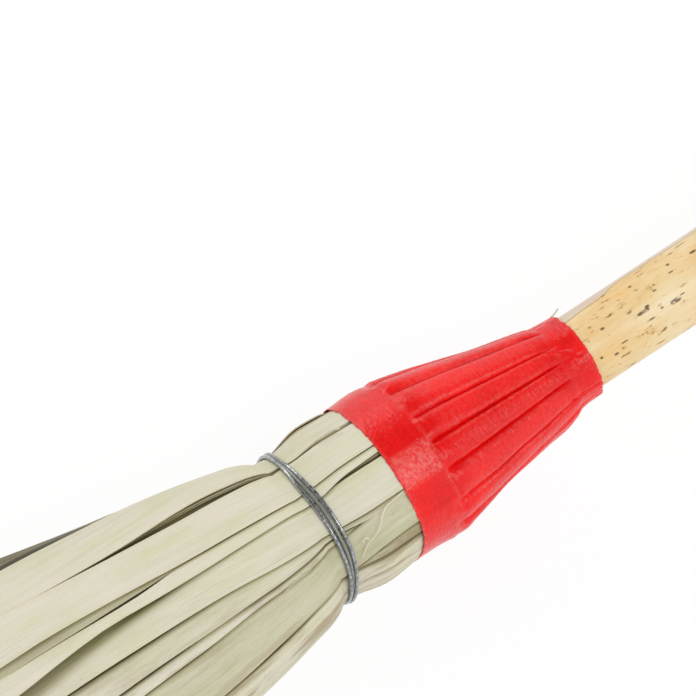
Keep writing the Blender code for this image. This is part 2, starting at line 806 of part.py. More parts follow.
def build():
    """Build the broom."""
    clear_scene()
    axis_frame = bpy.data.objects.new("broom_axis", None)
    bpy.context.collection.objects.link(axis_frame)
    cane = build_cane(axis_frame)
    fronds = make_fronds()
    rim, slope = rest_on_floor(fronds)
    pieces = build_fronds(fronds, rim, slope, axis_frame)
    galvanised = material("galvanised_wire", "9A9DA0", 0.35, 1.0)
    build_wire("outer_binding_wire", outer_wire_points(), WIRE_RADIUS, galvanised, axis_frame)
    build_wire("inner_binding_wire", inner_wire_points(), INNER_WIRE_RADIUS, galvanised, axis_frame)
    build_sleeve(axis_frame)
    build_nails(pieces, cane, axis_frame)
    placed = lay_down(axis_frame, slope)
    print_places(placed, pieces)


build()
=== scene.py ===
# %% [markdown]
# # A broom of dried palm leaf on a cane
# The broom lies on a pale floor. Its handle is a cane, its head is made of 24 leaf fronds bound round the
# cane with wire, and a red film sleeve is shrunk over the ends of the leaf stalks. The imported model
# comes in first as a fixed frame, and each piece in view is then made again, finer, in the same place.

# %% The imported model
import json
from math import atan2, cos, degrees, exp, hypot, pi, radians, sin, tan
import random

import bmesh
import bpy
from mathutils import Matrix, Vector, noise
import numpy as np


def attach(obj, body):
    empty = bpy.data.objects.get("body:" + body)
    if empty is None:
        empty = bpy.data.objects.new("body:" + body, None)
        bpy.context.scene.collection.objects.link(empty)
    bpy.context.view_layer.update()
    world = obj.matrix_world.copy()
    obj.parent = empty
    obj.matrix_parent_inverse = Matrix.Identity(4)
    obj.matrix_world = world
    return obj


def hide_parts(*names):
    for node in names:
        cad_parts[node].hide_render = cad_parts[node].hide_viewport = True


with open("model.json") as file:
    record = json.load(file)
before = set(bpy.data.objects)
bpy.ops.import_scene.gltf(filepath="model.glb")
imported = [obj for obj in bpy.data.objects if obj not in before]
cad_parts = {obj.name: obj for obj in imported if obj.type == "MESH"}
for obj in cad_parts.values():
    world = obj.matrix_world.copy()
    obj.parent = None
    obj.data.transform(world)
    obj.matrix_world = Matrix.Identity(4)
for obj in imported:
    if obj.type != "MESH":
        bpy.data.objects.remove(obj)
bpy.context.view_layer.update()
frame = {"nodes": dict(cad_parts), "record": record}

# %% [markdown]
# A broom is easiest to describe from its own middle line. A station is a distance along the cane in
# millimetres, with zero at the binding wire and the handle on the plus side, and an angle in degrees
# goes round it. The record's mount at the cane's far end says where that line lies, so one matrix
# carries a finished piece into its place, and every object keeps its origin at the world's.

# %% The broom's middle line
MM = 0.001
CANE_END = 903
RIM_MIDDLE = 9.1

end_mount = next(mount for mount in frame["record"]["mounts"] if mount["name"] == "cane_end")
ALONG = Vector(end_mount["axis"]).normalized()
ACROSS = Vector((0, 1, 0))
RISE = ALONG.cross(ACROSS)
WIRE_MIDDLE = Vector(end_mount["pos_m"]) - RISE * RIM_MIDDLE * MM - ALONG * CANE_END * MM
TURN = Matrix((ALONG, ACROSS, RISE)).transposed().to_4x4()
AXIS = Matrix.Translation(WIRE_MIDDLE) @ TURN @ Matrix.Scale(MM, 4)
print("wire on the middle line at", [round(value, 5) for value in WIRE_MIDDLE])


# %% [markdown]
# Most shapes here follow tables of measures, such as a radius against a station. One helper reads a
# table with straight lines between its rows, and a second one averages a few nearby readings, which
# rounds the corners off as a draughtsman's spline would.

# %% Reading tables
def read(rows, place, column=1):
    """Read a column of a table at a place, straight between two rows."""
    rows = sorted(rows)
    return float(np.interp(place, [row[0] for row in rows], [row[column] for row in rows]))


def read_soft(rows, place, reach, column=1):
    """Read a column of a table with its corners rounded over a reach."""
    return sum(read(rows, place + reach * share, column) for share in (-1, -0.5, 0, 0.5, 1)) / 5


def ease(share):
    """Go from 0 to 1 with soft ends."""
    held = min(max(share, 0), 1)
    return held * held * (3 - 2 * held)


print("halfway, eased:", ease(0.5))

# %% [markdown]
# ## Camera
# The photograph was taken from above and in front of the broom, with a long lens. Its angle follows
# from the cane: how wide it looks says how far away it is, and how its line runs says the turn.

# %% Camera
LENS = 223.24
SENSOR = 36
CAMERA_PLACE = (-0.56708, -0.40727, 1.24112)
VIEW_TURN = radians(53.76)
VIEW_DOWN = radians(65.144)

look = Vector((cos(VIEW_DOWN) * cos(VIEW_TURN), cos(VIEW_DOWN) * sin(VIEW_TURN), -sin(VIEW_DOWN)))
camera_data = bpy.data.cameras.new("camera")
camera_data.lens = LENS
camera_data.sensor_width = SENSOR
camera_data.clip_start = 0.05
camera_data.clip_end = 50
camera = bpy.data.objects.new("camera", camera_data)
camera.location = CAMERA_PLACE
camera.rotation_mode = "QUATERNION"
camera.rotation_quaternion = look.to_track_quat("-Z", "Y")
bpy.context.scene.collection.objects.link(camera)
bpy.context.scene.camera = camera
bpy.context.scene.view_settings.view_transform = "Standard"
print("camera looks along", [round(value, 3) for value in look])


# %% [markdown]
# ## Material helpers
# A colour is written as it looks on a screen and turned to linear light for the shader. Node trees are
# built with one function, which adds a node, sets its settings and inputs, and links what is a socket.
# A tint and a streaking of a colour come back in every material, so each has a helper of its own.

# %% Colours and nodes
def linear(code):
    """Turn an sRGB colour such as 'D9CFA8' into linear light."""
    values = [int(code[place:place + 2], 16) / 255 for place in (0, 2, 4)]
    return (*[v / 12.92 if v <= 0.04045 else ((v + 0.055) / 1.055) ** 2.4 for v in values], 1)


def add_node(tree, kind, *values, output=None, stops=(), **named):
    """Add a node with its settings and links, and return one of its outputs.

    Values go to the inputs in turn. A small name is a setting and a capital one an input, and stops
    are the (place, sRGB colour) pairs of a colour ramp."""
    node = tree.nodes.new("ShaderNode" + kind)
    for name in [name for name in named if name[0].islower()]:
        setattr(node, name, named.pop(name))
    pairs = list(zip([socket for socket in node.inputs if socket.enabled], values))
    pairs += [(node.inputs[name], value) for name, value in named.items()]
    for socket, value in pairs:
        if isinstance(value, bpy.types.NodeSocket):
            tree.links.new(value, socket)
        else:
            socket.default_value = value
    for number, (place, code) in enumerate(stops):
        marks = node.color_ramp.elements
        mark = marks[number] if number < len(marks) else marks.new(1.0)
        mark.position = place
        mark.color = linear(code)
    if output:
        return node.outputs[output]
    return next((socket for socket in node.outputs if socket.enabled), None)


def add_tint(tree, colour, mask, share, code):
    """Tint a colour towards an sRGB one by a share of a mask."""
    return add_node(
        tree, "Mix", add_node(tree, "Math", mask, share, operation="MULTIPLY"), colour, linear(code),
        data_type="RGBA",
    )


def add_streaks(tree, colour, share, factor, stops):
    """Vary a colour by a share, softly lit by a ramp of greys or near colours."""
    return add_node(
        tree, "Mix", share, colour, add_node(tree, "ValToRGB", factor, stops=stops), data_type="RGBA",
        blend_type="SOFT_LIGHT",
    )


def add_place(tree):
    """Give a point's place on the object, from the wire's middle."""
    place = add_node(tree, "TexCoord", output="Object")
    return add_node(tree, "VectorMath", place, WIRE_MIDDLE, operation="SUBTRACT")


def add_plain_view(tree):
    """Tell whether a ray comes from the camera, a reflection or a transmission."""
    rays = add_node(tree, "LightPath").node.outputs
    direct = add_node(tree, "Math", rays["Is Camera Ray"], rays["Is Glossy Ray"], operation="MAXIMUM")
    return add_node(tree, "Math", direct, rays["Is Transmission Ray"], operation="MAXIMUM")


def new_material(name, roughness, metallic=0.0, ior=1.5):
    """Start a material on a Principled shader; return it with its tree."""
    made = bpy.data.materials.new(name)
    made.use_nodes = True
    shader = made.node_tree.nodes["Principled BSDF"]
    shader.inputs["Roughness"].default_value = roughness
    shader.inputs["Metallic"].default_value = metallic
    shader.inputs["IOR"].default_value = ior
    return made, made.node_tree


def finish_material(made, colour, height=None, strength=0.0, distance=0.0, **inputs):
    """Link a material's colour, its relief and further inputs to its shader."""
    tree = made.node_tree
    inputs["Base_Color"] = colour
    if height is not None:
        inputs["Normal"] = add_node(tree, "Bump", Strength=strength, Distance=distance, Height=height)
    for name, socket in inputs.items():
        tree.links.new(socket, tree.nodes["Principled BSDF"].inputs[name.replace("_", " ")])
    print(made.name, "has", len(tree.nodes), "nodes")


# %% [markdown]
# ## Floor, sky and lamps
# The studio has a white floor and two large soft boxes, one at the upper left and one at the lower
# right. White comes from what the camera sees, not from more light: for camera and mirror rays the
# sky is plain white, and the floor is mostly a plain white with a little of its lit self mixed in, so
# that it keeps a faint shadow of the broom.

# %% Floor
FLOOR_HALF = 4
PLAIN_SHARE = 0.90

floor_look = bpy.data.materials.new("white_studio_floor")
floor_look.use_nodes = True
tree = floor_look.node_tree
tree.nodes.clear()
paint = add_node(tree, "BsdfDiffuse", Color=linear("F4F4F2"))
plain = add_node(tree, "Emission", Color=linear("FFFFFF"), Strength=1.02)
share = add_node(tree, "Math", add_plain_view(tree), PLAIN_SHARE, operation="MULTIPLY")
blend = add_node(tree, "MixShader", share, paint, plain)
add_node(tree, "OutputMaterial", Surface=blend)

bm = bmesh.new()
bmesh.ops.create_grid(bm, x_segments=1, y_segments=1, size=FLOOR_HALF)
floor_mesh = bpy.data.meshes.new("studio_floor")
bm.to_mesh(floor_mesh)
bm.free()
floor_mesh.materials.append(floor_look)
floor = bpy.data.objects.new("studio_floor", floor_mesh)
bpy.context.scene.collection.objects.link(floor)
print("floor:", 2 * FLOOR_HALF, "m wide")

# %% [markdown]
# The room has white walls and a grey ceiling. The camera never looks at the ceiling, but glossy film
# does: without something darker overhead, a mirror on every side would wash its red out.

# %% Sky
sky = bpy.data.worlds.new("studio_sky")
bpy.context.scene.world = sky
sky.use_nodes = True
tree = sky.node_tree
tree.nodes.clear()
towards = add_node(tree, "TexCoord", output="Generated")
height = add_node(tree, "SeparateXYZ", towards, output="Z")
ceiling = add_node(tree, "ValToRGB", height, stops=((0.35, "FFFFFF"), (0.62, "6A6A6A")))
ceiling.node.color_ramp.interpolation = "EASE"
fill = add_node(tree, "Background", Color=linear("FFFFFF"), Strength=0.62)
white = add_node(tree, "Background", Color=ceiling, Strength=1.0)
blend = add_node(tree, "MixShader", add_plain_view(tree), fill, white)
add_node(tree, "OutputWorld", Surface=blend)
print("sky:", len(tree.nodes), "nodes")


# %% Lamps
def add_lamp(name, towards, distance, size, power, colour):
    """Add a square soft box that faces the middle of the neck."""
    data = bpy.data.lights.new(name, "AREA")
    data.shape = "SQUARE"
    data.size = size
    data.energy = power
    data.color = linear(colour)[:3]
    lamp = bpy.data.objects.new(name, data)
    aim = Vector(towards).normalized()
    lamp.location = WIRE_MIDDLE + aim * distance
    lamp.rotation_mode = "QUATERNION"
    lamp.rotation_quaternion = (-aim).to_track_quat("-Z", "Y")
    bpy.context.scene.collection.objects.link(lamp)
    print(name, "at", [round(value, 2) for value in lamp.location])


add_lamp("soft_box_left", (0.1, 1.0, 0.62), 1.9, 1.1, 10, "FFFDF8")
add_lamp("soft_box_right", (0.25, -0.6, 0.8), 2.0, 1.05, 15, "FBFCFF")

# %% [markdown]
# ## Materials
# ### Dried cane
# The handle is a peeled and dried cane. Its skin is smooth and slightly waxy, pale straw in colour,
# and it is marked all over by small brown mould specks, drawn out along the cane because the fungus
# follows the fibres. Object coordinates are turned to the cane's own line, and the noise is stretched
# along it: fibres are about 0.4 mm wide and run for centimetres, specks are one to four millimetres
# long. Along the upper side near the sleeve a greyish lilac sheen is painted into the skin's colour,
# up to a fine crack in it.

# %% Cane skin
cane_skin, tree = new_material("dried_cane_skin", 0.42)
place = add_place(tree)
lean = atan2(-ALONG.z, ALONG.x)
level = add_node(tree, "VectorRotate", place, rotation_type="Y_AXIS", Angle=-lean)
stretched = add_node(tree, "Mapping", level, Scale=(25, 900, 900))
fibres = add_node(tree, "TexNoise", stretched, Scale=1.0, Detail=4.0, Roughness=0.6)
stretched = add_node(tree, "Mapping", level, Scale=(28, 70, 70))
clouds = add_node(tree, "TexNoise", stretched, Scale=1.0, Detail=3.0, Roughness=0.55)
stretched = add_node(tree, "Mapping", level, Scale=(230, 620, 620))
specks = add_node(tree, "TexNoise", stretched, Scale=1.0, Detail=5.0, Roughness=0.62)
crowd = add_node(tree, "TexNoise", add_node(tree, "Mapping", level, Scale=(36, 95, 95)), Scale=1.0)
skin = add_node(
    tree, "ValToRGB", clouds,
    stops=((0.30, "F0DCB8"), (0.46, "ECD1A2"), (0.58, "E7C48F"), (0.72, "EABB78")),
)
streaked = add_streaks(tree, skin, 0.35, fibres, ((0.3, "D9BC8E"), (0.7, "FFF3DC")))
crowding = add_node(
    tree, "Math", add_node(tree, "Math", crowd, 0.5, operation="SUBTRACT"), 0.30, operation="MULTIPLY",
)
dense = add_node(tree, "Math", specks, crowding, operation="ADD")
ochre = add_node(tree, "ValToRGB", dense, stops=((0.555, "000000"), (0.64, "FFFFFF")))
tinted = add_tint(tree, streaked, ochre, 0.50, "DBA862")
crack_and_sheen = add_node(tree, "Attribute", attribute_name="crack_and_sheen", output="Fac")
# Painted sheen: beyond the crack, the upper side is tinted a greyish lilac.
painted_sheen_side = add_node(tree, "ValToRGB", crack_and_sheen, stops=((0.50, "000000"), (0.58, "FFFFFF")))
sheen_tinted = add_tint(tree, tinted, painted_sheen_side, 0.62, "D6CBC6")
crack = add_node(
    tree, "ValToRGB", crack_and_sheen,
    stops=((0.44, "000000"), (0.49, "FFFFFF"), (0.51, "FFFFFF"), (0.55, "000000")),
)
cracked = add_tint(tree, sheen_tinted, crack, 0.55, "8A6F44")
dark = add_node(tree, "ValToRGB", dense, stops=((0.645, "000000"), (0.675, "FFFFFF")))
spotted = add_tint(tree, cracked, dark, 0.80, "74502C")
stains = add_node(
    tree, "ValToRGB", add_node(tree, "Attribute", attribute_name="stain", output="Fac"),
    stops=((0.20, "000000"), (0.55, "F2F2F2")),
)
broken = add_node(
    tree, "Math", stains, add_node(tree, "ValToRGB", specks, stops=((0.36, "505050"), (0.46, "FFFFFF"))),
    operation="MULTIPLY",
)
stained = add_node(tree, "Mix", broken, spotted, linear("4E2F14"), data_type="RGBA")
scarred = add_node(
    tree, "Mix", add_node(tree, "Attribute", attribute_name="scar", output="Fac"), stained,
    linear("A07C50"), data_type="RGBA",
)
relief = add_node(
    tree, "Math", fibres, add_node(tree, "Math", dark, -0.6, operation="MULTIPLY"), operation="ADD",
)
finish_material(cane_skin, scarred, relief, 0.25, 0.0002)

# %% [markdown]
# ### Dried palm leaf
# The leaf was split, dried and bleached in the sun. It is matt and a little fibrous, between cream and
# grey green, with fine veins along it about half a millimetre apart, faint blotches, and a rim where it
# was torn from its neighbour: brown where the strip is soiled, a pale painted highlight where it is not.
# A strip carries its own map in millimetres, with the first direction along the leaf, so that the veins
# follow every bend. Three numbers on its points say how light, how green and how soiled the strip is, a
# fourth says how near its edge a point is, and a fifth how many millimetres it lies out from under the
# strip above. A strip is painted dark brown as shade where it slips under its neighbour, and this
# painted shade is broader where the strip above stands high, as its painted shadow.

# %% Palm leaf
# The last mark, inside, drives a painted shade: the ramp below darkens a strip near black under the strip
# above.
LEAF_MARKS = ("tone", "green", "soil", "edge", "inside")
PAINTED_SHADE = (
    (0.0, "2A2617"), (0.05, "6A6547"), (0.10, "A09E80"), (0.20, "CBC9B0"), (0.40, "F0EFE4"), (0.60, "FFFFFF"),
)

leaf, tree = new_material("dried_palm_leaf", 0.62)
millimetres = add_node(tree, "UVMap", uv_map="leaf_mm")
tone, green, soil, edge, inside = [
    add_node(tree, "Attribute", attribute_name=name, output="Fac") for name in LEAF_MARKS
]
stretched = add_node(tree, "Mapping", millimetres, Scale=(0.02, 1.9, 1))
veins = add_node(tree, "TexNoise", stretched, Scale=1.0, Detail=4.0, Roughness=0.65)
stretched = add_node(tree, "Mapping", millimetres, Scale=(0.012, 0.55, 1))
ridges = add_node(tree, "TexNoise", stretched, Scale=1.0)
stretched = add_node(tree, "Mapping", millimetres, Scale=(0.035, 0.13, 1))
clouds = add_node(tree, "TexNoise", stretched, Scale=1.0, Detail=4.0, Roughness=0.6)
stretched = add_node(tree, "Mapping", millimetres, Scale=(0.45, 1.1, 1))
flecks = add_node(tree, "TexNoise", stretched, Scale=1.0, Detail=5.0, Roughness=0.7)
hairs = add_node(tree, "TexNoise", add_node(tree, "Mapping", millimetres, Scale=(0.018, 3.0, 1)), Scale=1.0)
grain = add_node(tree, "TexNoise", millimetres, Scale=2.6, Detail=3.0, Roughness=0.6)
stretched = add_node(tree, "Mapping", millimetres, Scale=(0.03, 0.26, 1))
age = add_node(tree, "TexNoise", stretched, Scale=1.0, Detail=5.0, Roughness=0.65)
cream_leaf = add_node(
    tree, "ValToRGB", clouds, stops=((0.32, "E0D9CB"), (0.50, "DBD6C2"), (0.66, "D4D2B3")),
)
green_leaf = add_node(
    tree, "ValToRGB", clouds, stops=((0.32, "CBC8B0"), (0.50, "C3C1A3"), (0.66, "B8B796")),
)
plain_leaf = add_node(tree, "Mix", green, cream_leaf, green_leaf, data_type="RGBA")
veined = add_streaks(tree, plain_leaf, 0.20, veins, ((0.25, "8F8A6C"), (0.5, "D2CDB2"), (0.75, "FFFBE8")))
ridged = add_streaks(tree, veined, 0.12, ridges, ((0.3, "97926F"), (0.7, "FFFCEB")))
hairline = add_node(tree, "ValToRGB", hairs, stops=((0.30, "FFFFFF"), (0.37, "000000")))
lined = add_tint(tree, ridged, hairline, 0.35, "9B967C")
grained = add_streaks(tree, lined, 0.26, grain, ((0.3, "8A8A80"), (0.7, "FFFFFF")))
# Darker tones are warmer: painted warm bounce light in the painted shade of the strips below.
tone_green = add_node(tree, "Math", tone, 1.03, operation="POWER")
tone_blue = add_node(tree, "Math", tone, 1.40, operation="POWER")
shade = add_node(tree, "CombineColor", tone, tone_green, tone_blue)
toned = add_node(tree, "Mix", 1.0, grained, shade, data_type="RGBA", blend_type="MULTIPLY")
aged = add_node(
    tree, "Math", age,
    add_node(tree, "Math", add_node(tree, "Math", edge, 4.0, operation="POWER"), 0.10, operation="MULTIPLY"),
    operation="ADD",
)
brown = add_node(
    tree, "Math", soil, add_node(tree, "ValToRGB", aged, stops=((0.49, "000000"), (0.62, "FFFFFF"))),
    operation="MULTIPLY",
)
browned = add_tint(tree, toned, brown, 0.75, "9A845E")
soiled = add_node(
    tree, "Math", add_node(tree, "Math", soil, 0.75, operation="MULTIPLY"), 0.18, operation="ADD",
)
fleck = add_node(
    tree, "Math", add_node(tree, "ValToRGB", flecks, stops=((0.63, "000000"), (0.70, "FFFFFF"))), soiled,
    operation="MULTIPLY",
)
flecked = add_node(tree, "Mix", fleck, browned, linear("66583F"), data_type="RGBA")
uneven = add_node(tree, "Math", veins, 0.5, operation="SUBTRACT")
ragged = add_node(tree, "Math", uneven, 0.12, operation="MULTIPLY")
ragged_rim = add_node(tree, "Math", edge, ragged, operation="ADD")
# The rim is brown where torn on a soiled strip, and a pale painted highlight on the cut edge of a clean one.
rim = add_node(
    tree, "Math", add_node(tree, "ValToRGB", ragged_rim, stops=((0.93, "000000"), (0.995, "FFFFFF"))), 0.6,
    operation="MULTIPLY",
)
with_rim_tear_and_highlight = add_node(
    tree, "Mix", rim, flecked,
    add_node(tree, "Mix", soil, linear("E6DEBC"), linear("A4743A"), data_type="RGBA"), data_type="RGBA",
)
# Painted shade: the colour is multiplied by the ramp, near black under the strip above.
painted_shade_colour = add_node(
    tree, "ValToRGB", add_node(tree, "Math", inside, 0.25, operation="MULTIPLY"), stops=PAINTED_SHADE,
)
relief = add_node(
    tree, "Math", veins, add_node(tree, "Math", ridges, 1.5, operation="MULTIPLY"), operation="ADD",
)
with_painted_shade = add_node(tree, "Mix", 1.0, with_rim_tear_and_highlight, painted_shade_colour, data_type="RGBA", blend_type="MULTIPLY")
finish_material(leaf, with_painted_shade, relief, 0.30, 0.0003)

# %% [markdown]
# ### Shrunk red film
# The sleeve is PVC film, shrunk on with hot air. It is glossy but finely crinkled, so a reflection
# breaks up into a grain of half a millimetre. Where it was stretched over a rim it pales; painted
# highlights lie over the step, on the ribs and beside the grooves, and a painted reflection on a patch
# at the mouth, in the same pale colour.

# %% Red film
film, tree = new_material("shrunk_red_pvc_film", 0.24, ior=1.41)
place = add_place(tree)
grain = add_node(tree, "TexNoise", place, Scale=900.0, Detail=3.0, Roughness=0.6)
stretched = add_node(tree, "Mapping", place, Scale=(1300, 330, 330))
crinkle = add_node(tree, "TexNoise", stretched, Scale=1.0, Detail=3.0)
patches = add_node(tree, "TexNoise", place, Scale=60.0, Detail=3.0)
blotches = add_node(tree, "ValToRGB", patches, stops=((0.35, "E20808"), (0.65, "F5100E")))
body = add_streaks(tree, blotches, 0.40, crinkle, ((0.35, "6E6E6E"), (0.65, "FFFFFF")))
grains = add_node(tree, "ValToRGB", grain, stops=((0.35, "505050"), (0.65, "FFFFFF")))
# The pale mark holds the stretched paling at the rims, painted highlights and a painted reflection.
pale_and_highlight = add_node(tree, "Attribute", attribute_name="pale_and_highlight", output="Fac")
pale_and_highlight_grain = add_node(tree, "Math", pale_and_highlight, grains, operation="MULTIPLY")
reddened = add_node(tree, "Mix", pale_and_highlight_grain, body, linear("F3837A"), data_type="RGBA")
gloss = add_node(
    tree, "Math", 0.14, add_node(tree, "Math", patches, 0.22, operation="MULTIPLY"), operation="ADD",
)
relief = add_node(
    tree, "Math", crinkle, add_node(tree, "Math", grain, 0.8, operation="MULTIPLY"), operation="ADD",
)
finish_material(film, reddened, relief, 0.75, 0.00032, Roughness=gloss)

# %% [markdown]
# ### Galvanised wire and nail steel
# The wire is drawn iron with a zinc coat: bright along its crest, grey and faintly streaked at the
# sides, and dull on its middle turn. The nails are plain drawn steel. The default IOR stays for both.

# %% Wire and nails
zinc, tree = new_material("galvanised_iron_wire", 0.34, metallic=1.0)
mottle = add_node(tree, "TexNoise", add_node(tree, "TexCoord", output="Object"), Scale=1100.0, Detail=3.0)
zinc_coat = add_node(tree, "ValToRGB", mottle, stops=((0.3, "6E7173"), (0.55, "A3A6A8"), (0.7, "D0D3D3")))
dull = add_node(tree, "Attribute", attribute_name="dull", output="Fac")
coat = add_tint(tree, zinc_coat, dull, 0.8, "8A8D7F")
metal = add_node(
    tree, "Math", 0.8, add_node(tree, "Math", dull, 0.55, operation="MULTIPLY"), operation="SUBTRACT",
)
gloss = add_node(
    tree, "Math", 0.10, add_node(tree, "Math", mottle, 0.25, operation="MULTIPLY"), operation="ADD",
)
finish_material(zinc, coat, mottle, 0.25, 0.0001, Metallic=metal, Roughness=gloss)

steel, tree = new_material("drawn_steel_nail", 0.38, metallic=1.0)
scale = add_node(tree, "TexNoise", add_node(tree, "TexCoord", output="Object"), Scale=700.0, Detail=4.0)
finish_material(steel, add_node(tree, "ValToRGB", scale, stops=((0.35, "75777A"), (0.65, "A3A5A7"))))


# %% [markdown]
# ## Finishing a piece
# Every piece is modelled in millimetres on the middle line and closed in the same way: the matrix puts
# it in place, its mesh is shaded smooth with sharp folds kept, it gets its material, it is hung on the
# root body, and the imported parts that it replaces are hidden. A film or a leaf gets its wall from a
# modifier.

# %% From bmesh to piece
def finish_piece(name, bm, look, nodes, sharp):
    """Put a bmesh in its place and make it a piece of the broom."""
    bmesh.ops.transform(bm, matrix=AXIS, verts=bm.verts)
    mesh = bpy.data.meshes.new(name)
    bm.to_mesh(mesh)
    bm.free()
    mesh.shade_smooth()
    mesh.set_sharp_from_angle(angle=radians(sharp))
    mesh.materials.append(look)
    piece = bpy.data.objects.new(name, mesh)
    bpy.context.scene.collection.objects.link(piece)
    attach(piece, "root")
    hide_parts(*nodes)
    return piece


def add_wall(piece, name, thickness):
    """Give a piece that is a skin its thickness in millimetres, inwards."""
    wall = piece.modifiers.new(name, "SOLIDIFY")
    wall.thickness = thickness * MM
    wall.offset = -1


def ring_point(radius, angle, station):
    """Give a point on a ring round the middle line."""
    return Vector((station, radius * cos(radians(angle)), radius * sin(radians(angle))))


# %% [markdown]
# ## Cane handle
# A cane is round between its nodes and swells at each one, with a thin scar where the leaf sheath sat.
# Its outline is drawn once and spun about the middle line. The wander of the cane changes direction at
# the nodes, as growing cane does. The hidden end is whittled to a taper, and the sawn end has a cup
# where the pith was drilled out.

# %% The cane's measures
CANE_RADIUS = 12.5
CANE_TOP_RADIUS = 11.6
NODES = (190.83, 383.83, 582.62, 778.515)
# How far the middle strays sideways: station, millimetres
WANDER = (
    (20, 0), (90, -1.1), (150, -1.3), (NODES[0], -0.7), (NODES[1], -1.08), (NODES[2], 1.2), (NODES[3], -0.6),
    (CANE_END, 0),
)
CANE_SIDES = 180
MM_IN_DEGREE = 0.218
STAIN_REACH = 9
SCAR_AHEAD = 0.9
# The sawn end with its drilled cup: station, radius
SAWN_END = (
    (902.2, 11.6), (902.75, 11.35), (903, 10.8), (903, 7.9), (902.5, 7.4), (891, 7.4), (890.4, 6.6),
    (890.4, 0),
)
# Brown stains on the skin: station, angle, length along, width, strength
STAINS = (
    (123, 111, 4.6, 1.1, 0.95), (134, 123, 3.9, 1.4, 0.95), (124, 126, 3.2, 0.7, 0.85),
    (109, 99, 1.4, 0.7, 0.9), (119, 101, 2.1, 0.5, 0.8), (125, 107, 1.6, 0.6, 0.85),
    (129, 121, 1.3, 0.6, 0.85), (137, 120, 1.9, 0.6, 0.7), (113, 132, 2.8, 0.6, 0.9),
    (112, 139, 1.7, 0.6, 0.8), (109, 141, 1.6, 0.7, 0.9), (104, 133, 1.2, 0.7, 0.9),
    (105, 125, 1.8, 0.4, 0.6), (125, 67, 1.3, 0.6, 0.85), (139, 71, 1.2, 0.6, 0.9),
    (138, 84, 2.1, 0.6, 0.8), (130, 94, 1.7, 0.6, 0.75), (131, 86, 1.2, 0.5, 0.7), (148, 76, 2.5, 0.9, 0.9),
    (147, 50, 4.9, 0.7, 0.65), (133, 44, 1.2, 0.6, 0.7), (106, 87, 1.3, 0.6, 0.6),
    (125, 149, 3.9, 1.6, 0.2), (103, 103, 1.2, 0.6, 0.5), (109, 160, 1.0, 0.6, 0.6),
    (118, 123, 1.0, 0.5, 0.5), (117, 51, 1.6, 0.8, 0.6), (160, 100, 7.0, 1.6, 0.8),
    (172, 118, 5.0, 1.8, 0.8),
)
# The crack in the skin: station, angle
CRACK = ((60, 62), (101, 57), (109, 53), (117, 51), (124, 38), (135, 40), (149, 41), (185, 44))
print("nodes on the cane:", len(NODES), "stains:", len(STAINS))

# %% [markdown]
# The outline's points lie close together at the nodes and where stains are, and far apart between them.
# Three numbers on the points drive the skin's colours: stains, the scars at the nodes, and the crack,
# with the painted sheen on one side of it.


# %% The cane's outline and marks
def body_radius(station):
    """Give the cane's radius between its nodes."""
    table = ((-62, 7.0), (-17, CANE_RADIUS), (NODES[0], CANE_RADIUS), (CANE_END, CANE_TOP_RADIUS))
    return read(table, station)


def node_swell(station):
    """Give the swelling and the scar at the nearest node."""
    node = min(NODES, key=lambda place: abs(place - station))
    away = station - node
    bead = 1.25 * exp(-((away - 0.8) / 2.6) ** 2) + 0.5 * exp(-(away / 8) ** 2)
    return bead - 1.1 * exp(-((away + SCAR_AHEAD) / 0.55) ** 2)


def cane_stations():
    """Give the outline's stations: close together at nodes, apart between them."""
    places = [-62, -40, -17, 20, 60, 95]
    places += list(np.arange(98, 150, 0.6)) + list(np.arange(152, 176, 2.0))
    for node in NODES:
        places += [node + away for away in np.arange(-8, 9, 0.5)]
        places += [node + away for away in (-30, -18, -12, 12, 18, 30, 50, 75, 100, 125, 150)]
    return sorted(place for place in set(places) if place <= CANE_END - 4)


def stain_strength(station, angle):
    """Give how dark the stains are at a place on the skin."""
    marks = [
        depth * exp(-(((station - s) / length * 2) ** 4 + ((angle - a) * MM_IN_DEGREE / width * 2) ** 4))
        for s, a, length, width, depth in STAINS if abs(station - s) < STAIN_REACH
    ]
    return min(sum(marks), 1)


def crack_and_sheen_strength(station, angle):
    """Give 0.5 at the crack, more on the side of it with the painted sheen, and 0 away from it."""
    from_crack = (read(CRACK, station) - (angle + 60) % 360 + 60) * radians(CANE_RADIUS)
    painted_sheen_side = station < NODES[0] - 5 and from_crack < 12
    return 0.5 + from_crack / 8 if painted_sheen_side else 0


print("outline stations:", len(cane_stations()))

# %% Cane
bm = bmesh.new()
outline = [(-62, 0)] + [(station, body_radius(station) + node_swell(station)) for station in cane_stations()]
line = [bm.verts.new((station, 0, -radius)) for station, radius in [*outline, *SAWN_END]]
edges = [bm.edges.new(pair) for pair in zip(line, line[1:])]
bmesh.ops.spin(
    bm, geom=line + edges, axis=(1, 0, 0), cent=(0, 0, 0), angle=2 * pi, steps=CANE_SIDES, use_merge=True,
)
bmesh.ops.remove_doubles(bm, verts=bm.verts, dist=0.001)
bmesh.ops.recalc_face_normals(bm, faces=bm.faces)
numbers = bm.verts.layers.float
stain_layer, scar_layer, crack_and_sheen_layer = [numbers.new(name) for name in ("stain", "scar", "crack_and_sheen")]
for vert in bm.verts:
    station, angle = vert.co.x, degrees(atan2(vert.co.z, vert.co.y)) % 360
    near = min(abs(station + SCAR_AHEAD - node) for node in NODES)
    vert[stain_layer] = stain_strength(station, angle)
    vert[scar_layer] = 0.75 * exp(-(near / 0.8) ** 2)
    vert[crack_and_sheen_layer] = crack_and_sheen_strength(station, angle)
    oval = 1 + 0.012 * sin(2 * radians(angle) + 0.7) * ease((station - 100) / 40)
    vert.co.y *= oval
    vert.co.z /= oval
    vert.co.y += read(WANDER, station)
cane_piece = finish_piece("cane_pole", bm, cane_skin, ["cane_handle"], 60)
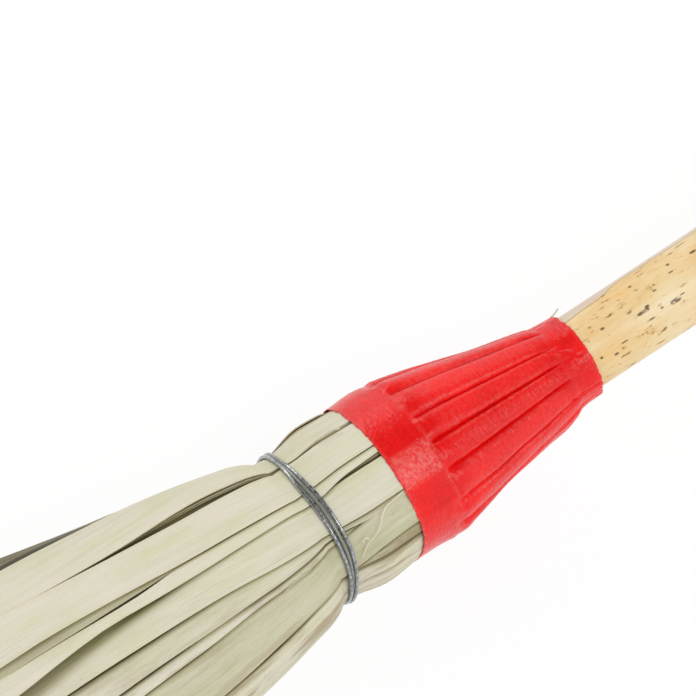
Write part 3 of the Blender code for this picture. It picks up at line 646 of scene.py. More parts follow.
print("cane:", len(cane_piece.data.polygons), "faces")


# %% [markdown]
# ## The space that the leaves fill
# The leaves lie between the cane and an outer surface: drawn in at the wire, bulging on both sides of
# it, and flaring into a wide flat head. A point in them is told by its station, its angle, how deep it
# lies as a share of the layer's thickness, and a lift in millimetres.

# %% Leaf surface
NECK_RADIUS = 24.4
HEAD_LENGTH = 335
HEAD_HALF_WIDTH = 106
HEAD_HALF_HEIGHT = 50
WIRE_SEAT = (-3.925, 3.425)
NECK = ((3.425, 24.4), (12, 26.2), (40, 25.7), (44, 25.1), (93, 14.2))
SWELL = ((0, 0), (4.2, 1.6), (21.8, 2.1), (40.6, 1.8), (60.3, 1.0), (104, 0))
CORE_FLARE = 25
CORE_HALF_WIDTH = 10.6
CORE_HALF_HEIGHT = 5
FLOOR_LIFT = 0.0004


def outer_axes(station):
    """Give the half width and half height of the leaves' outside."""
    if station >= WIRE_SEAT[0]:
        radius = read_soft(NECK, station, 2)
        return radius, radius
    away = WIRE_SEAT[0] - station
    share = away / (WIRE_SEAT[0] + HEAD_LENGTH)
    swell = read_soft(SWELL, away, min(away, 4))
    wide = NECK_RADIUS + (HEAD_HALF_WIDTH - NECK_RADIUS) * share + swell
    high = NECK_RADIUS + (HEAD_HALF_HEIGHT - NECK_RADIUS) * share * (1.3 - 0.3 * share) + swell
    return wide, high


def core_axes(station):
    """Give the half width and half height of the space in the leaves' middle."""
    share = max(-station - CORE_FLARE, 0) / (HEAD_LENGTH - CORE_FLARE)
    core = CANE_RADIUS + 0.3
    return core + (CORE_HALF_WIDTH - core) * share, core + (CORE_HALF_HEIGHT - core) * share


def leaf_point(station, angle, deep=0.0, lift=0.0):
    """Place a point: deep 0 is the outside and 1 the core; the angle is in degrees."""
    wide, high = outer_axes(station)
    core_wide, core_high = core_axes(station)
    turn = radians(angle)
    y = (wide - (wide - core_wide) * deep + lift) * cos(turn)
    z = (high - (high - core_high) * deep + lift) * sin(turn)
    return Vector((station, y, z))


print("outside at the tips:", [round(value, 1) for value in outer_axes(-HEAD_LENGTH)])

# %% [markdown]
# ## Leaf strips
# A palm frond is folded like a fan, and each fold dries into a flat strip that widens away from the
# wire and tears into fingers at its tip. A strip starts as a flat grid, its far end is split along the
# lines between its fingers, and the grid is then laid on the leaf surface, between two edges whose
# angles and lifts change along the broom. The thickness comes last, from a Solidify modifier.

# %% Helpers for strips
# Stations of the rows of points in a strip
FINE = (
    39.5, 37, 33, 29, 25, 22, 19, 16, 13.5, 11, 8.5, 6, 4, 2, 0, -2, -4, -5.5, -7, -9, -11.5, -14, -17, -20.5,
    -24, -28, -32, -37, -42, -48, -54, -61, -68, -76, -84, -93, -102, -112, -124, -137, -151, -166, -182,
    -199, -217, -236, -256, -276, -296, -316, -335,
)
COARSE = (39.5, 30, 18, 8, 3, -2, -6, -12, -22, -36, -54, -76, -102, -132, -166, -204, -244, -284, -312, -335)
# The highest that a leaf may lie under the film: station, lift
UNDER_FILM = ((20, 3), (24, 0.10), (30, -0.05), (37, -0.2), (39.5, -1.0))
# The angle that faces the camera, and how far out a leaf lies when no painted shade is left on it
FACING = 110.7
NO_PAINTED_SHADE = 9


def start_frond():
    """Start a frond's bmesh, with a map in millimetres and a number for each mark."""
    made = bmesh.new()
    made.loops.layers.uv.new("leaf_mm")
    for mark in LEAF_MARKS:
        made.verts.layers.float.new(mark)
    return made


def set_marks(bm, vert, marks):
    """Write a leaf's numbers on a point: tone, green, soil, edge and inside."""
    for name, value in zip(LEAF_MARKS, marks):
        vert[bm.verts.layers.float[name]] = value


def seen(station, angle, lift):
    """Turn an angle read off the photograph into that of a raised point which looks the same."""
    away = radians(min(max(FACING - angle, -62), 62))
    return angle + degrees(lift * tan(away) / outer_axes(station)[0])


def strip_tone_and_shade(tone, deep, station):
    """Give a strip's lightness with painted shade: what lies below is painted dark in the neck and painted
    pale again at the tips, and a dark strip on top is painted back to a plain tone past the neck.
    """
    if deep:
        return tone * (0.32 + 0.68 * ease((-station - 110) / 120)) + (1 - tone) * ease((-station - 220) / 90)
    return tone + max(0.85 - tone, 0) * ease((-station - 112) / 40)


def out_of_painted_shade(station, angle, reach, above, painted_line):
    """Give how many millimetres a point lies out from under the strip above, which sets its painted shade."""
    wide, high = outer_axes(station)
    covered = read_soft(above, station, reach, 2) if above else -360
    # Where the strip above stands high, its painted shadow reaches further and is less dark.
    overhang = 0.8 * max(read_soft(above, station, reach, 4) - 1, 0) if above else 0
    out_by = max(radians(angle - covered) * (wide + high) / 2 - painted_line, 0)
    in_shade = min(out_by, 1.9 * overhang)
    steep = (1.8 - 0.8 * min(overhang, 1)) / (1 + 0.3 * overhang)
    past_painted_shade = in_shade * 0.05 + (out_by - in_shade) * steep + 0.38 * overhang
    far_out = ease((-station - 120) / 130)
    return min(past_painted_shade, NO_PAINTED_SHADE) * (1 - far_out) + NO_PAINTED_SHADE * far_out


print("rows of points in a strip:", len(FINE), "or", len(COARSE))

# %% [markdown]
# The strip maker takes a table of rows, each with a station, a low and a high angle, and the lift of
# either edge. The tips hold a split station and, for each finger, its share across, end station, drift
# and curl. The looks are tone, green and soil. The rows above are those of the strip that covers the
# low edge, and a painted line is the width of the darkest painted shade beside it. A strip taken as
# seen in the photograph has its angles corrected for its lifts.


# %% Strip maker
def rip_fingers(bm, verts, split_x, borders):
    """Split a flat grid between its fingers; return its points, faces and each point's finger."""
    faces = list({face for vert in verts for face in vert.link_faces})
    ripped = [
        edge for edge in {edge for face in faces for edge in face.edges}
        if all(vert.co.x > split_x - 0.001 for vert in edge.verts)
        and any(all(abs(vert.co.y - border) < 0.001 for vert in edge.verts) for border in borders)
    ]
    if ripped:
        bmesh.ops.split_edges(bm, edges=ripped)
        verts = list({vert for face in faces for vert in face.verts})
    finger_of = {}
    for face in faces:
        middle = face.calc_center_median().y
        number = next(count for count, border in enumerate([*borders, 1]) if middle < border + 0.001)
        for vert in face.verts:
            finger_of[vert] = number
    return verts, faces, finger_of


def add_strip(bm, rows, stations, across, tips, looks, deep=0.0, crown=0.3, seed=0, above=None, painted_line=0.0,
              as_seen=False):
    """Add a strip of leaf to a frond."""
    split_at, fingers = tips
    chance = random.Random(seed)
    shift = Vector((chance.uniform(0, 900), chance.uniform(0, 900), chance.uniform(0, 900)))
    split_step = min(range(len(stations)), key=lambda step: abs(stations[step] - split_at))
    split_x = split_step / (len(stations) - 1) * 2 - 1
    borders = [round(finger[0] * across) / across * 2 - 1 for finger in fingers[:-1]]
    limits = [-1, *borders, 1]
    verts = bmesh.ops.create_grid(bm, x_segments=len(stations) - 1, y_segments=across, size=1)["verts"]
    verts, faces, finger_of = rip_fingers(bm, verts, split_x, borders)
    map_layer = bm.loops.layers.uv["leaf_mm"]
    flat = {}
    for vert in verts:
        step = round((vert.co.x + 1) / 2 * (len(stations) - 1))
        station, side = stations[step], vert.co.y
        number = finger_of[vert]
        middle = (limits[number] + limits[number + 1]) / 2
        half = (limits[number + 1] - limits[number]) / 2
        drift = curl = 0
        rim = abs(side)
        if step > split_step:
            _, end, finger_drift, finger_curl = fingers[number]
            gone = (step - split_step) / (len(stations) - 1 - split_step)
            station = stations[split_step] + (end - stations[split_step]) * gone
            local = (side - middle) / half
            taper = (1 - 0.06 * gone) * (1 - gone ** 3.2) + 0.10 * gone ** 3.2
            side = middle + local * half * taper
            drift = finger_drift * gone ** 2
            curl = finger_curl * gone ** 2
            rim = abs(local)
        reach = 3 if station > -12 else 7
        low, high, low_lift, high_lift = [read_soft(rows, station, reach, column) for column in (1, 2, 3, 4)]
        away = ease(abs(station) / 25)
        wave = noise.noise(Vector((station / 26, side * 0.8, 0)) + shift) * 0.35 * away
        wander = noise.noise(Vector((station / 33, 7, round(side) * 3)) + shift) * 0.5 * away
        angle = low + (high - low) * (side + 1) / 2 + drift + wander
        bow = crown * (1 - side * side) * (0.3 + 0.7 * away)
        lift = low_lift + (high_lift - low_lift) * (side + 1) / 2 + bow + wave + curl
        lift = min(lift, read(UNDER_FILM, station)) if station > 20 else lift
        wide, high_axis = outer_axes(station)
        flat[vert] = (-station + shift.x, radians(high - low) * (wide + high_axis) / 2 * side / 2 + shift.y)
        # How far the point lies out of the painted shade of the strip above.
        past_painted_shade = out_of_painted_shade(station, angle, reach, above, painted_line)
        set_marks(bm, vert, (strip_tone_and_shade(looks[0], deep, station), looks[1], looks[2], rim, past_painted_shade))
        vert.co = leaf_point(station, seen(station, angle, lift) if as_seen else angle, deep, lift)
    for face in faces:
        for loop in face.loops:
            loop[map_layer].uv = flat[loop.vert]


# %% [markdown]
# The fronds that face the camera are described one by one, from the photograph: where each strip's
# edges run, which edge lies on top, how grey or green it is. A low edge faces up and to the left. Where
# a strip's edge stands off its neighbour, thin edges of the strips below it show in the gap.

# %% Strips of the front, measured
# Each strip: frond number, the strip that covers its low edge, tone, green, soil, crown,
# rows of (station, low angle, high angle, low lift, high lift)
FRONT = {
    "A": (3, "neck_under", 0.95, 0.0, 0.0, 0.5, (
        (44, 25, 58, -0.2, 0.1), (25, 25, 58.5, -0.2, 0.1), (10, 22, 57.5, -0.1, 0.0), (3, 18, 57, 0, -0.1),
        (-2, 16, 53, 0.1, 0.2), (-8, 15, 53, 1.0, 0.6), (-22, 16, 53.5, 0.5, 1.3), (-36, 18, 57, 0.0, 1.1),
        (-50, 26, 62, -0.2, 0.8), (-66, 34, 64, -0.2, 0.4), (-86, 41, 66, 0.1, -0.1), (-110, 47, 68, 0, -0.3),
        (-170, 47, 69, 0, -0.4), (-335, 42, 66, -1, -1))),
    "B": (4, None, 0.96, 0.0, 0.05, 0.35, (
        (44, 62.5, 86.5, -0.2, 0.1), (25, 62.5, 86, -0.2, 0.1), (10, 61, 86.5, -0.2, 0),
        (3, 58.5, 86.5, -0.1, 0), (-2, 57.5, 87, -0.1, 0.1), (-8, 60, 88, 0.0, 0.1),
        (-18, 61.5, 88, 0.1, 0.2), (-28, 63.5, 87.5, 0.1, 0.5), (-42, 65, 87, 0.1, 0.8),
        (-59, 65.5, 85, 0.2, 1.0), (-78, 65.5, 84, 0.3, 1.1), (-97, 66, 84, 0.2, 1.2),
        (-110, 66.5, 85, 0.2, 1.1), (-170, 68, 86, 0, 0.3), (-335, 66, 86, -1, -1))),
    "C": (5, "B", 0.98, 0.1, 0.05, 0.2, (
        (44, 87.5, 92, -0.3, -0.2), (25, 87.5, 92, -0.3, -0.1), (10, 87.5, 93.5, -0.3, -0.1),
        (2, 87, 97, -0.2, -0.1), (-8, 87, 96, -0.2, 0.0), (-24, 87, 95.5, -0.1, 0.3),
        (-42, 87, 95, 0.1, 0.9), (-58, 89.5, 94, 0.2, 1.5), (-72, 89, 92.5, 0.3, 2.2),
        (-85, 88.5, 93.5, 0.3, 2.6), (-108, 89, 96.5, 0.3, 2.8), (-170, 88, 100, 0, 1.2),
        (-335, 84, 96, -1, 0))),
    "D": (6, "C", 1.00, 0.25, 0.1, 0.4, (
        (44, 96, 122, -0.2, 0.1), (25, 96, 122, -0.2, 0.1), (10, 95.5, 122, -0.2, 0),
        (2, 95, 121.5, -0.2, 0), (-6, 94, 120, -0.3, 0.1), (-18, 93, 117, -0.4, 0.5),
        (-34, 92, 112, -0.6, 0.9), (-48, 91, 110, -1.0, 1.1), (-61, 90, 108.5, -1.6, 1.2),
        (-78, 89, 107, -2.2, 1.3), (-96, 90, 106, -2.6, 1.3), (-110, 91, 105.5, -2.8, 1.2),
        (-170, 92, 108, -2, 0.4), (-335, 92, 108, -2, -1))),
    "E": (7, "D", 0.98, 0.45, 0.3, 0.3, (
        (44, 118, 127, -0.9, -0.3), (10, 118, 126.5, -0.8, -0.3), (2, 117, 124.5, -0.6, -0.2),
        (-6, 116, 125.5, -0.6, 0.0), (-18, 112, 125.5, -0.6, 0.5), (-34, 106, 122.5, -0.7, 0.8),
        (-48, 104, 121, -0.8, 0.9), (-61, 103, 119.5, -0.8, 0.9), (-78, 102, 118, -0.8, 0.8),
        (-96, 101, 117, -0.8, 0.7), (-170, 103, 121, -1, 0.2), (-335, 104, 124, -2, -1))),
    "F": (7, "cream", 0.96, 0.80, 0.42, 0.35, (
        (44, 124, 149, -0.9, 0.0), (25, 124, 148.5, -0.9, 0.1), (12, 124, 149.5, -0.9, 0.0),
        (2, 125.5, 157, -0.9, 0.0), (-6, 126.5, 157.5, -0.9, 0.1), (-17, 127, 155.5, -0.8, 0.3),
        (-31, 124.5, 154.5, -0.8, 0.5), (-50, 122, 153, -0.8, 0.6), (-78, 119.5, 148, -0.8, 0.7),
        (-100, 118, 146, -0.8, 0.7), (-170, 120, 144, -0.8, 0.2), (-335, 122, 144, -1, -1))),
    "G": (9, "neck_brown", 0.97, 0.15, 0.9, 0.35, (
        (44, 157.5, 196, -1.0, -0.2), (25, 157.5, 197, -1.0, -0.2), (17, 157, 198.5, -1.0, 0.6),
        (11, 157, 200, -1.0, 1.1), (5, 157, 202, -0.8, 1.2), (1, 157.5, 203, -0.8, 0.2),
        (-6, 157, 203, -0.9, 1.2), (-12, 155, 202, -0.9, 1.0), (-18, 154, 200, -1.0, 0.4),
        (-40, 151, 193, -0.9, -0.5), (-60, 149, 186, -0.8, -0.9), (-100, 147, 180, -0.6, -0.6),
        (-170, 148, 180, -0.5, 0), (-335, 150, 178, -1, -1))),
}
print("strips measured:", len(FRONT))


# %% Fingers at the tips
def fingers(count, chance, curl=2.0):
    """Give the tips of a strip: where it splits, and each finger's end, drift and curl."""
    ends = []
    for number in range(count):
        end = -HEAD_LENGTH * chance.uniform(0.93, 1.0)
        ends.append(((number + 1) / count, end, chance.uniform(-1.2, 1.2), chance.uniform(-curl, curl * 0.4)))
    return -chance.uniform(176, 232), ends


print("one finger:", [round(value, 2) for value in fingers(1, random.Random(1))[1][0]])

# %% [markdown]
# In the gaps of the front, some thin strips show their edges only. They are narrow, lie lower, and are
# browner at the rim.

# %% Edges that show in the gaps
GAPS = {
    "neck_top": (2, None, 0.80, 0.3, 0.5, 0.1, (
        (44, 5, 18, 0.2, 0.3), (25, 6, 19, 0.3, 0.6), (15, 6, 19, 0.5, 1.3), (8, 6, 17, 0.2, 0.8),
        (2, 6, 15, -0.2, 0), (-10, 4, 12, -0.5, -0.5), (-335, 2, 14, -1, -1))),
    "neck_under": (2, "neck_top", 0.90, 0.2, 0.4, 0.1, (
        (44, 12, 24, -0.6, -0.4), (25, 12, 24.5, -0.5, -0.1), (15, 12, 23, -0.4, 0.4), (8, 12, 20, -0.4, 0.2),
        (2, 10, 16, -0.5, -0.4), (-10, 4, 10, -0.7, -0.6), (-60, 2, 12, -2, -2), (-335, 2, 12, -2, -2))),
    "edge_1": (3, "A", 0.85, 0.4, 0.3, 0.1, (
        (44, 48, 60.5, -0.9, -0.5), (25, 48, 61, -0.9, -0.5), (10, 48, 59.5, -0.8, -0.6),
        (2, 48, 57, -0.8, -0.6), (-8, 46, 55.5, -0.6, -0.5), (-22, 46, 56.5, -0.4, -0.1),
        (-40, 50, 60, -0.4, -0.1), (-66, 54, 64, -0.7, -0.6), (-335, 52, 66, -3, -3))),
    "edge_2": (3, "edge_1", 0.85, 0.5, 0.3, 0.1, (
        (44, 46, 58, -1.6, -1.4), (2, 46, 57, -1.4, -1.2), (-8, 46, 57.5, -1.3, -1.0),
        (-22, 46, 58.5, -1.0, -0.8), (-40, 50, 61.5, -1.0, -0.8), (-66, 54, 64.5, -1.3, -1.2),
        (-335, 50, 66, -4, -4))),
    "edge_3": (3, "edge_2", 0.80, 0.6, 0.3, 0.1, (
        (44, 46, 61, -2.2, -2.0), (2, 46, 58, -2.0, -1.8), (-8, 46, 58.5, -2.2, -2.0),
        (-22, 46, 59.6, -2.0, -1.9), (-40, 50, 62.6, -2.0, -1.9), (-66, 54, 65, -2.1, -2.0),
        (-335, 50, 66, -5, -5))),
    "under_B": (4, "B", 0.85, 0.8, 0.2, 0.1, (
        (44, 78, 87.5, -1.0, -0.9), (2, 78, 87.5, -0.8, -0.7), (-24, 78, 88, -0.6, -0.5),
        (-42, 78, 87.8, -0.4, -0.2), (-59, 77, 88.0, -0.3, 0.0), (-78, 76, 88.3, -0.3, 0.1),
        (-97, 76, 88.2, -0.3, 0.1), (-112, 76, 88.8, -0.3, 0.1), (-335, 76, 90, -3, -3))),
    "neck_line": (5, "C", 0.88, 0.3, 0.5, 0.1, (
        (44, 88, 94.2, -1.0, -0.8), (25, 88, 94, -1.0, -0.7), (12, 88, 94, -0.9, -0.6),
        (2, 88, 95, -0.8, -0.7), (-30, 86, 93, -1.4, -1.2), (-335, 84, 98, -4, -4))),
    "neck_line_under": (5, "neck_line", 0.80, 0.3, 0.6, 0.1, (
        (44, 90, 95.2, -1.6, -1.3), (25, 90, 95, -1.6, -1.2), (12, 90, 95, -1.4, -1.1),
        (2, 90, 96, -1.2, -1.0), (-30, 88, 94, -2.2, -2.0), (-335, 86, 100, -6, -6))),
    "cream": (7, "E", 1.00, 0.10, 0.65, 0.1, (
        (44, 118, 124, -1.3, -1.1), (25, 118, 124, -1.2, -1.0), (14, 119, 124, -1.2, -1.0),
        (2, 120, 129, -0.9, -0.5), (-6, 121, 130.5, -0.5, -0.1), (-17, 121, 130.5, -0.4, 0.1),
        (-31, 119, 127, -0.4, 0.2), (-50, 117, 126.8, -0.4, 0.2), (-78, 115, 124.2, -0.5, 0.1),
        (-110, 114, 122.5, -0.6, 0), (-335, 112, 124, -3, -3))),
    "neck_brown": (8, "F", 0.80, 0.35, 1.0, 0.1, (
        (44, 146, 158, -0.9, -0.6), (25, 146, 158, -0.9, -0.6), (12, 146, 158, -0.8, -0.6),
        (2, 148, 158.5, -0.6, -0.5), (-6, 148, 157.5, -1.0, -0.9), (-17, 144, 155.5, -1.2, -1.0),
        (-31, 142, 154.5, -1.2, -1.0), (-50, 140, 153, -1.2, -1.0), (-78, 138, 148, -1.2, -1.0),
        (-100, 136, 146, -1.2, -1.0), (-335, 134, 144, -3, -3))),
    "under_G": (9, "G", 0.62, 0.2, 1.0, 0.1, (
        (44, 176, 206, -1.2, -1.0), (2, 178, 206, -0.8, -0.6), (-18, 182, 203, -1.4, -1.3),
        (-40, 180, 197, -1.6, -1.5), (-60, 176, 192, -1.4, -1.4), (-100, 170, 188, -1.2, -1.0),
        (-335, 166, 186, -3, -3))),
    # The two strips under A get near-black tones as painted shade, not as the leaf's own colour.
    "under_A_edge": (1, None, 0.055, 0.30, 0.4, 0.1, (
        (44, 4, 14, -2, -2), (-20, 4, 16, -2, -2), (-45, 10, 24, -0.9, -1.1), (-62, 25, 36, -0.4, -0.8),
        (-86, 36, 46, -0.1, -0.6), (-110, 43, 53, -0.1, -0.6), (-135, 41, 51, -1.6, -1.6),
        (-335, 34, 46, -2, -2))),
    "beside_A": (2, None, 0.95, 0.4, 0.4, 0.3, (
        (44, 8, 36, -2, -2), (-60, 9, 38, -2, -2), (-108, 9, 42, -1.8, -1.8), (-132, 9, 45, 0.2, -0.2),
        (-170, 9, 48, 0.4, -0.3), (-335, 9, 44, -0.5, -1))),
    "under_A": (1, None, 0.19, 0.25, 0.8, 0.1, (
        (44, 4, 16, -1, -1), (2, 4, 16, -0.8, -0.8), (-20, 4, 18, -1, -1), (-45, 4, 24, -0.6, -0.9),
        (-58, 2, 32, 0.3, -1.0), (-86, 0, 44, 0.5, -1.2), (-110, -2, 50, 0.4, -1.2), (-134, 0, 42, -1.4, -2),
        (-335, -6, 34, -2.5, -2.5))),
}

print("strips that show their edges:", len(GAPS))

# %% [markdown]
# Each frond is a mesh of its own, so that it can stand for its node of the imported model. Where a strip
# slips under its neighbour a painted dark line of shade runs beside it, and its width differs at a few of
# them.

# %% The measured strips
MEASURED = {**FRONT, **GAPS}
PAINTED_LINE_WIDTH = 0.18
PAINTED_LINE_WIDTHS = {"cream": 0.35, "G": 0.8, "E": 0.05, "edge_1": 0.15, "under_B": -0.12, "F": 0.1}

fronds = {f"outer_frond_{number:02d}": start_frond() for number in range(1, 17)}
fronds.update({f"inner_frond_{number:02d}": start_frond() for number in range(1, 9)})
strips_in = {name: 0 for name in fronds}
tip_draws = random.Random(5)
for order, (mark, (number, cover, tone, green, soil, crown, rows)) in enumerate(MEASURED.items()):
    name = f"outer_frond_{number:02d}"
    above = MEASURED[cover][6] if cover else None
    widest = rows[-1][2] - rows[-1][1]
    count = (3 if widest > 17 else 2) if mark in FRONT else 1
    tips = fingers(count, tip_draws)
    add_strip(fronds[name], rows, FINE, 12 if mark in FRONT else 5, tips, (tone, green, soil), crown=crown,
              seed=100 + order, above=above, painted_line=PAINTED_LINE_WIDTHS.get(mark, PAINTED_LINE_WIDTH), as_seen=True)
    strips_in[name] += 1
print("strips laid:", sum(strips_in.values()))

# %% [markdown]
# The rest of the head follows a rule. Each frond has a broad strip on top, three rows of narrower ones
# under it that fan out towards the tips, and each inner frond three rows more round the cane. A seeded
# chance sets their widths, wander and colour, so that the broom comes out the same every time.

# %% Strips by rule
OUTER_STEP = 22.5
INNER_STEP = 45
LAYERS = 3
OUTER_STRIPS = 4
INNER_STRIPS = 5
# The broad strips that meet the measured ones: frond number, low and high angle
BESIDE_MEASURED = {1: (350.5, 369), 10: (198, 216)}
# Looks are drawn between limits, for tone, green and soil
BROAD_LOOKS = ((0.86, 1.0), (0.1, 0.8), (0.1, 0.7))
OUTER_LOOKS = ((0.62, 0.92), (0.1, 0.9), (0.2, 0.9))
INNER_LOOKS = ((0.55, 0.85), (0.2, 1.0), (0.2, 0.9))
draws = random.Random(17)


def ruled_rows(middle, half, lap, chance, lift, spread=0.0):
    """Give the rows of a strip that fills a sector, with wandering edges."""
    rows = []
    for station in (44, 20, 3, -4, -20, -45, -80, -130, -190, -260, -335):
        wander = chance.uniform(-0.12, 0.12) * half * (2 if station < -10 else 1)
        narrow = 1 - 0.25 * ease((-station - 230) / 120)
        rows.append((station, middle - half * narrow + wander - lap, middle + half * narrow + wander + lap,
                     lift + chance.uniform(-0.15, 0.15), lift + spread + chance.uniform(-0.15, 0.15)))
    return rows


def add_lower_strip(name, rows, limits, deep, crown, seed):
    """Add a narrow strip that lies under others."""
    looks = [draws.uniform(*pair) for pair in limits]
    add_strip(fronds[name], rows, COARSE, 2, fingers(1, draws, 3), looks, deep=deep, crown=crown, seed=seed)
    strips_in[name] += 1


above = FRONT["G"][6]
for number in (10, 11, 12, 13, 14, 15, 16, 1):
    name = f"outer_frond_{number:02d}"
    middle = OUTER_STEP * (number - 1)
    low, high = BESIDE_MEASURED.get(number, (middle - OUTER_STEP / 2, middle + OUTER_STEP / 2))
    rows = ruled_rows((low + high) / 2, (high - low) / 2, 2.0, draws, -0.5, 0.5)
    looks = [draws.uniform(*pair) for pair in BROAD_LOOKS]
    tips = fingers(3, draws)
    add_strip(fronds[name], rows, FINE, 9, tips, looks, crown=0.4, seed=300 + number, above=above)
    above = rows
    strips_in[name] += 1
for number in range(1, 17):
    name = f"outer_frond_{number:02d}"
    for layer in range(LAYERS):
        for place in range(OUTER_STRIPS):
            aside = (place + 0.5 - OUTER_STRIPS / 2) * OUTER_STEP / OUTER_STRIPS
            centre = OUTER_STEP * (number - 1) + aside + draws.uniform(-1, 1)
            half = OUTER_STEP / OUTER_STRIPS / 2 + 1.2
            rows = ruled_rows(centre, half, 0.6, draws, -1.1 - 0.9 * layer)
            seed = 1000 + number * 16 + layer * 4 + place
            add_lower_strip(name, rows, OUTER_LOOKS, 0.04 + 0.10 * layer, 0.2, seed)
for number in range(1, 9):
    name = f"inner_frond_{number:02d}"
    for layer in range(LAYERS):
        for place in range(INNER_STRIPS):
            aside = (place + 0.5 - INNER_STRIPS / 2) * INNER_STEP / INNER_STRIPS
            centre = INNER_STEP * (number - 1) + aside + draws.uniform(-1.5, 1.5)
            rows = ruled_rows(centre, 5.2, 1.0, draws, 0)
            seed = 2000 + number * 16 + layer * 5 + place
            add_lower_strip(name, rows, INNER_LOOKS, 0.46 + 0.17 * layer, 0.15, seed)
print("strips in all:", sum(strips_in.values()), "fewest in a frond:", min(strips_in.values()))

# %% [markdown]
# Under the film the blades end and each frond goes on as a stalk, which tapers against the cane. A stalk
# is a closed bar between two stations, narrower on its outer side. Near the collar the film, and the
# stalks with it, lie a little aside of the cane's middle.

# %% Stalks under the film
STALK_MIDDLES = (5, 23, 45.5, 71, 96, 118, 143, 168, 188, 205.5, 225, 247.5, 270, 292.5, 315, 337.5)
# Tone, green, soil, edge and inside of a stalk
STALK_LOOKS = (0.8, 0.2, 0.5, 0.0, NO_PAINTED_SHADE)
COLLAR_SHIFT = ((44, 0), (92, 1.2), (101.5, 1.25))
SHIFT_ANGLE = radians(204)


def shifted(radius, angle, station):
    """Give the y and z of a ring's point, with the ring shifted as it is near the collar."""
    shift = read(COLLAR_SHIFT, station)
    turn = radians(angle)
    return radius * cos(turn) + shift * cos(SHIFT_ANGLE), radius * sin(turn) + shift * sin(SHIFT_ANGLE)


def add_stalk(bm, middle, half, top, bottom, start, end):
    """Add a stalk: a closed bar between two radii, given at its start and its end."""
    verts = bmesh.ops.create_cube(bm, size=2)["verts"]
    for vert in verts:
        share = (vert.co.x + 1) / 2
        station = start + (end - start) * share
        outside = read(((0, top[0]), (1, top[1])), share)
        inside = read(((0, bottom[0]), (1, bottom[1])), share)
        radius = outside if vert.co.z > 0 else inside
        angle = middle + half * vert.co.y * (0.8 if vert.co.z > 0 else 1)
        vert.co = (station, *shifted(radius, angle, station))
        set_marks(bm, vert, STALK_LOOKS)


for number, middle in enumerate(STALK_MIDDLES, 1):
    add_stalk(fronds[f"outer_frond_{number:02d}"], middle, 7.5, (22.2, 13.6), (20.4, 13.1), 40, 92)
for number in range(1, 9):
    middle = INNER_STEP * (number - 1)
    add_stalk(fronds[f"inner_frond_{number:02d}"], middle, 17, (18.6, 17.0), (13.2, 13.0), 40, 59)
print("stalks:", len(STALK_MIDDLES) + 8)

# %% [markdown]
# A few loose fibres have sprung off: a curly one on the neck, some short ones at the wire, and one that
# sticks out of the sleeve's collar. A fibre is a ribbon a fifth of a millimetre wide.

# %% Loose fibres
# Each fibre: frond number, points of (station, angle, height over the leaves)
FIBRES = (
    (8, ((4, 149, 0.1), (7, 141, 0.3), (9, 138.5, 0.5), (11, 137, 0.5), (13.5, 132, 0.4), (16.5, 125, 0.2),
         (20.5, 124, 0.2), (24.5, 123, 0.1))),
    (8, ((8, 139, 0.1), (8, 136, 0.9), (6.5, 135, 1.1), (6, 138, 0.7))),
    (7, ((-8, 128, 0.3), (-14, 129.5, 0.8), (-20, 128.5, 0.6), (-24, 129.5, 0.2))),
    (3, ((12, 60, 0.1), (15, 61.5, 0.6), (18, 61, 0.8), (21, 63, 0.3))),
    (13, ((-6, 268, 0.3), (-12, 271, 1.2), (-19, 270, 1.5), (-24, 274, 0.9))),
    (16, ((6, 334, 0.2), (9, 339, 0.9), (14, 337, 1.1), (18, 341, 0.4))),
)
# The fibre at the collar: points of (station, angle, radius), round a middle that lies aside
COLLAR_FIBRE = ((96, 20, 13.0), (101.9, 22, 13.8), (103.5, 23, 14.3), (104.9, 23, 14.9))
COLLAR_ASIDE = Vector((0, -1.1, -0.5))
PALE_FIBRE = (1.2, 0.0, 0.0, 1.0, NO_PAINTED_SHADE)
PALE_FROND = 8
FIBRE_WIDTH = 0.22
FIBRE_LIFT = 0.45


def add_fibre(bm, places, looks):
    """Add a ribbon through places given on the middle line."""
    verts = bmesh.ops.create_grid(bm, x_segments=len(places) - 1, y_segments=1, size=1)["verts"]
    for vert in verts:
        step = round((vert.co.x + 1) / 2 * (len(places) - 1))
        run = (places[min(step + 1, len(places) - 1)] - places[max(step - 1, 0)]).normalized()
        out = Vector((0, places[step].y, places[step].z)).normalized()
        vert.co = places[step] + run.cross(out) * (FIBRE_WIDTH * vert.co.y / 2)
        set_marks(bm, vert, looks)


def smooth_line(points):
    """Run a line through points with its corners rounded, four steps from one to the next."""
    steps = (len(points) - 1) * 4
    rows = [(number, *point) for number, point in enumerate(points)]
    return [[read_soft(rows, step / 4, 0.4, column) for column in (1, 2, 3)] for step in range(steps + 1)]


for number, points in FIBRES:
    places = [
        leaf_point(station, angle, 0, height + FIBRE_LIFT) for station, angle, height in smooth_line(points)
    ]
    looks = PALE_FIBRE if number == PALE_FROND else STALK_LOOKS
    add_fibre(fronds[f"outer_frond_{number:02d}"], places, looks)
places = [
    ring_point(radius, angle, station) + COLLAR_ASIDE for station, angle, radius in smooth_line(COLLAR_FIBRE)
]
add_fibre(fronds["outer_frond_02"], places, STALK_LOOKS)
print("loose fibres:", len(FIBRES) + 1)

# %% [markdown]
# A finished frond is kept a hair above the floor, its torn rims are shaded sharp, and
# the modifier gives it the thickness of a dried leaf.

# %% Fronds finished
LEAF_THICKNESS = 0.42

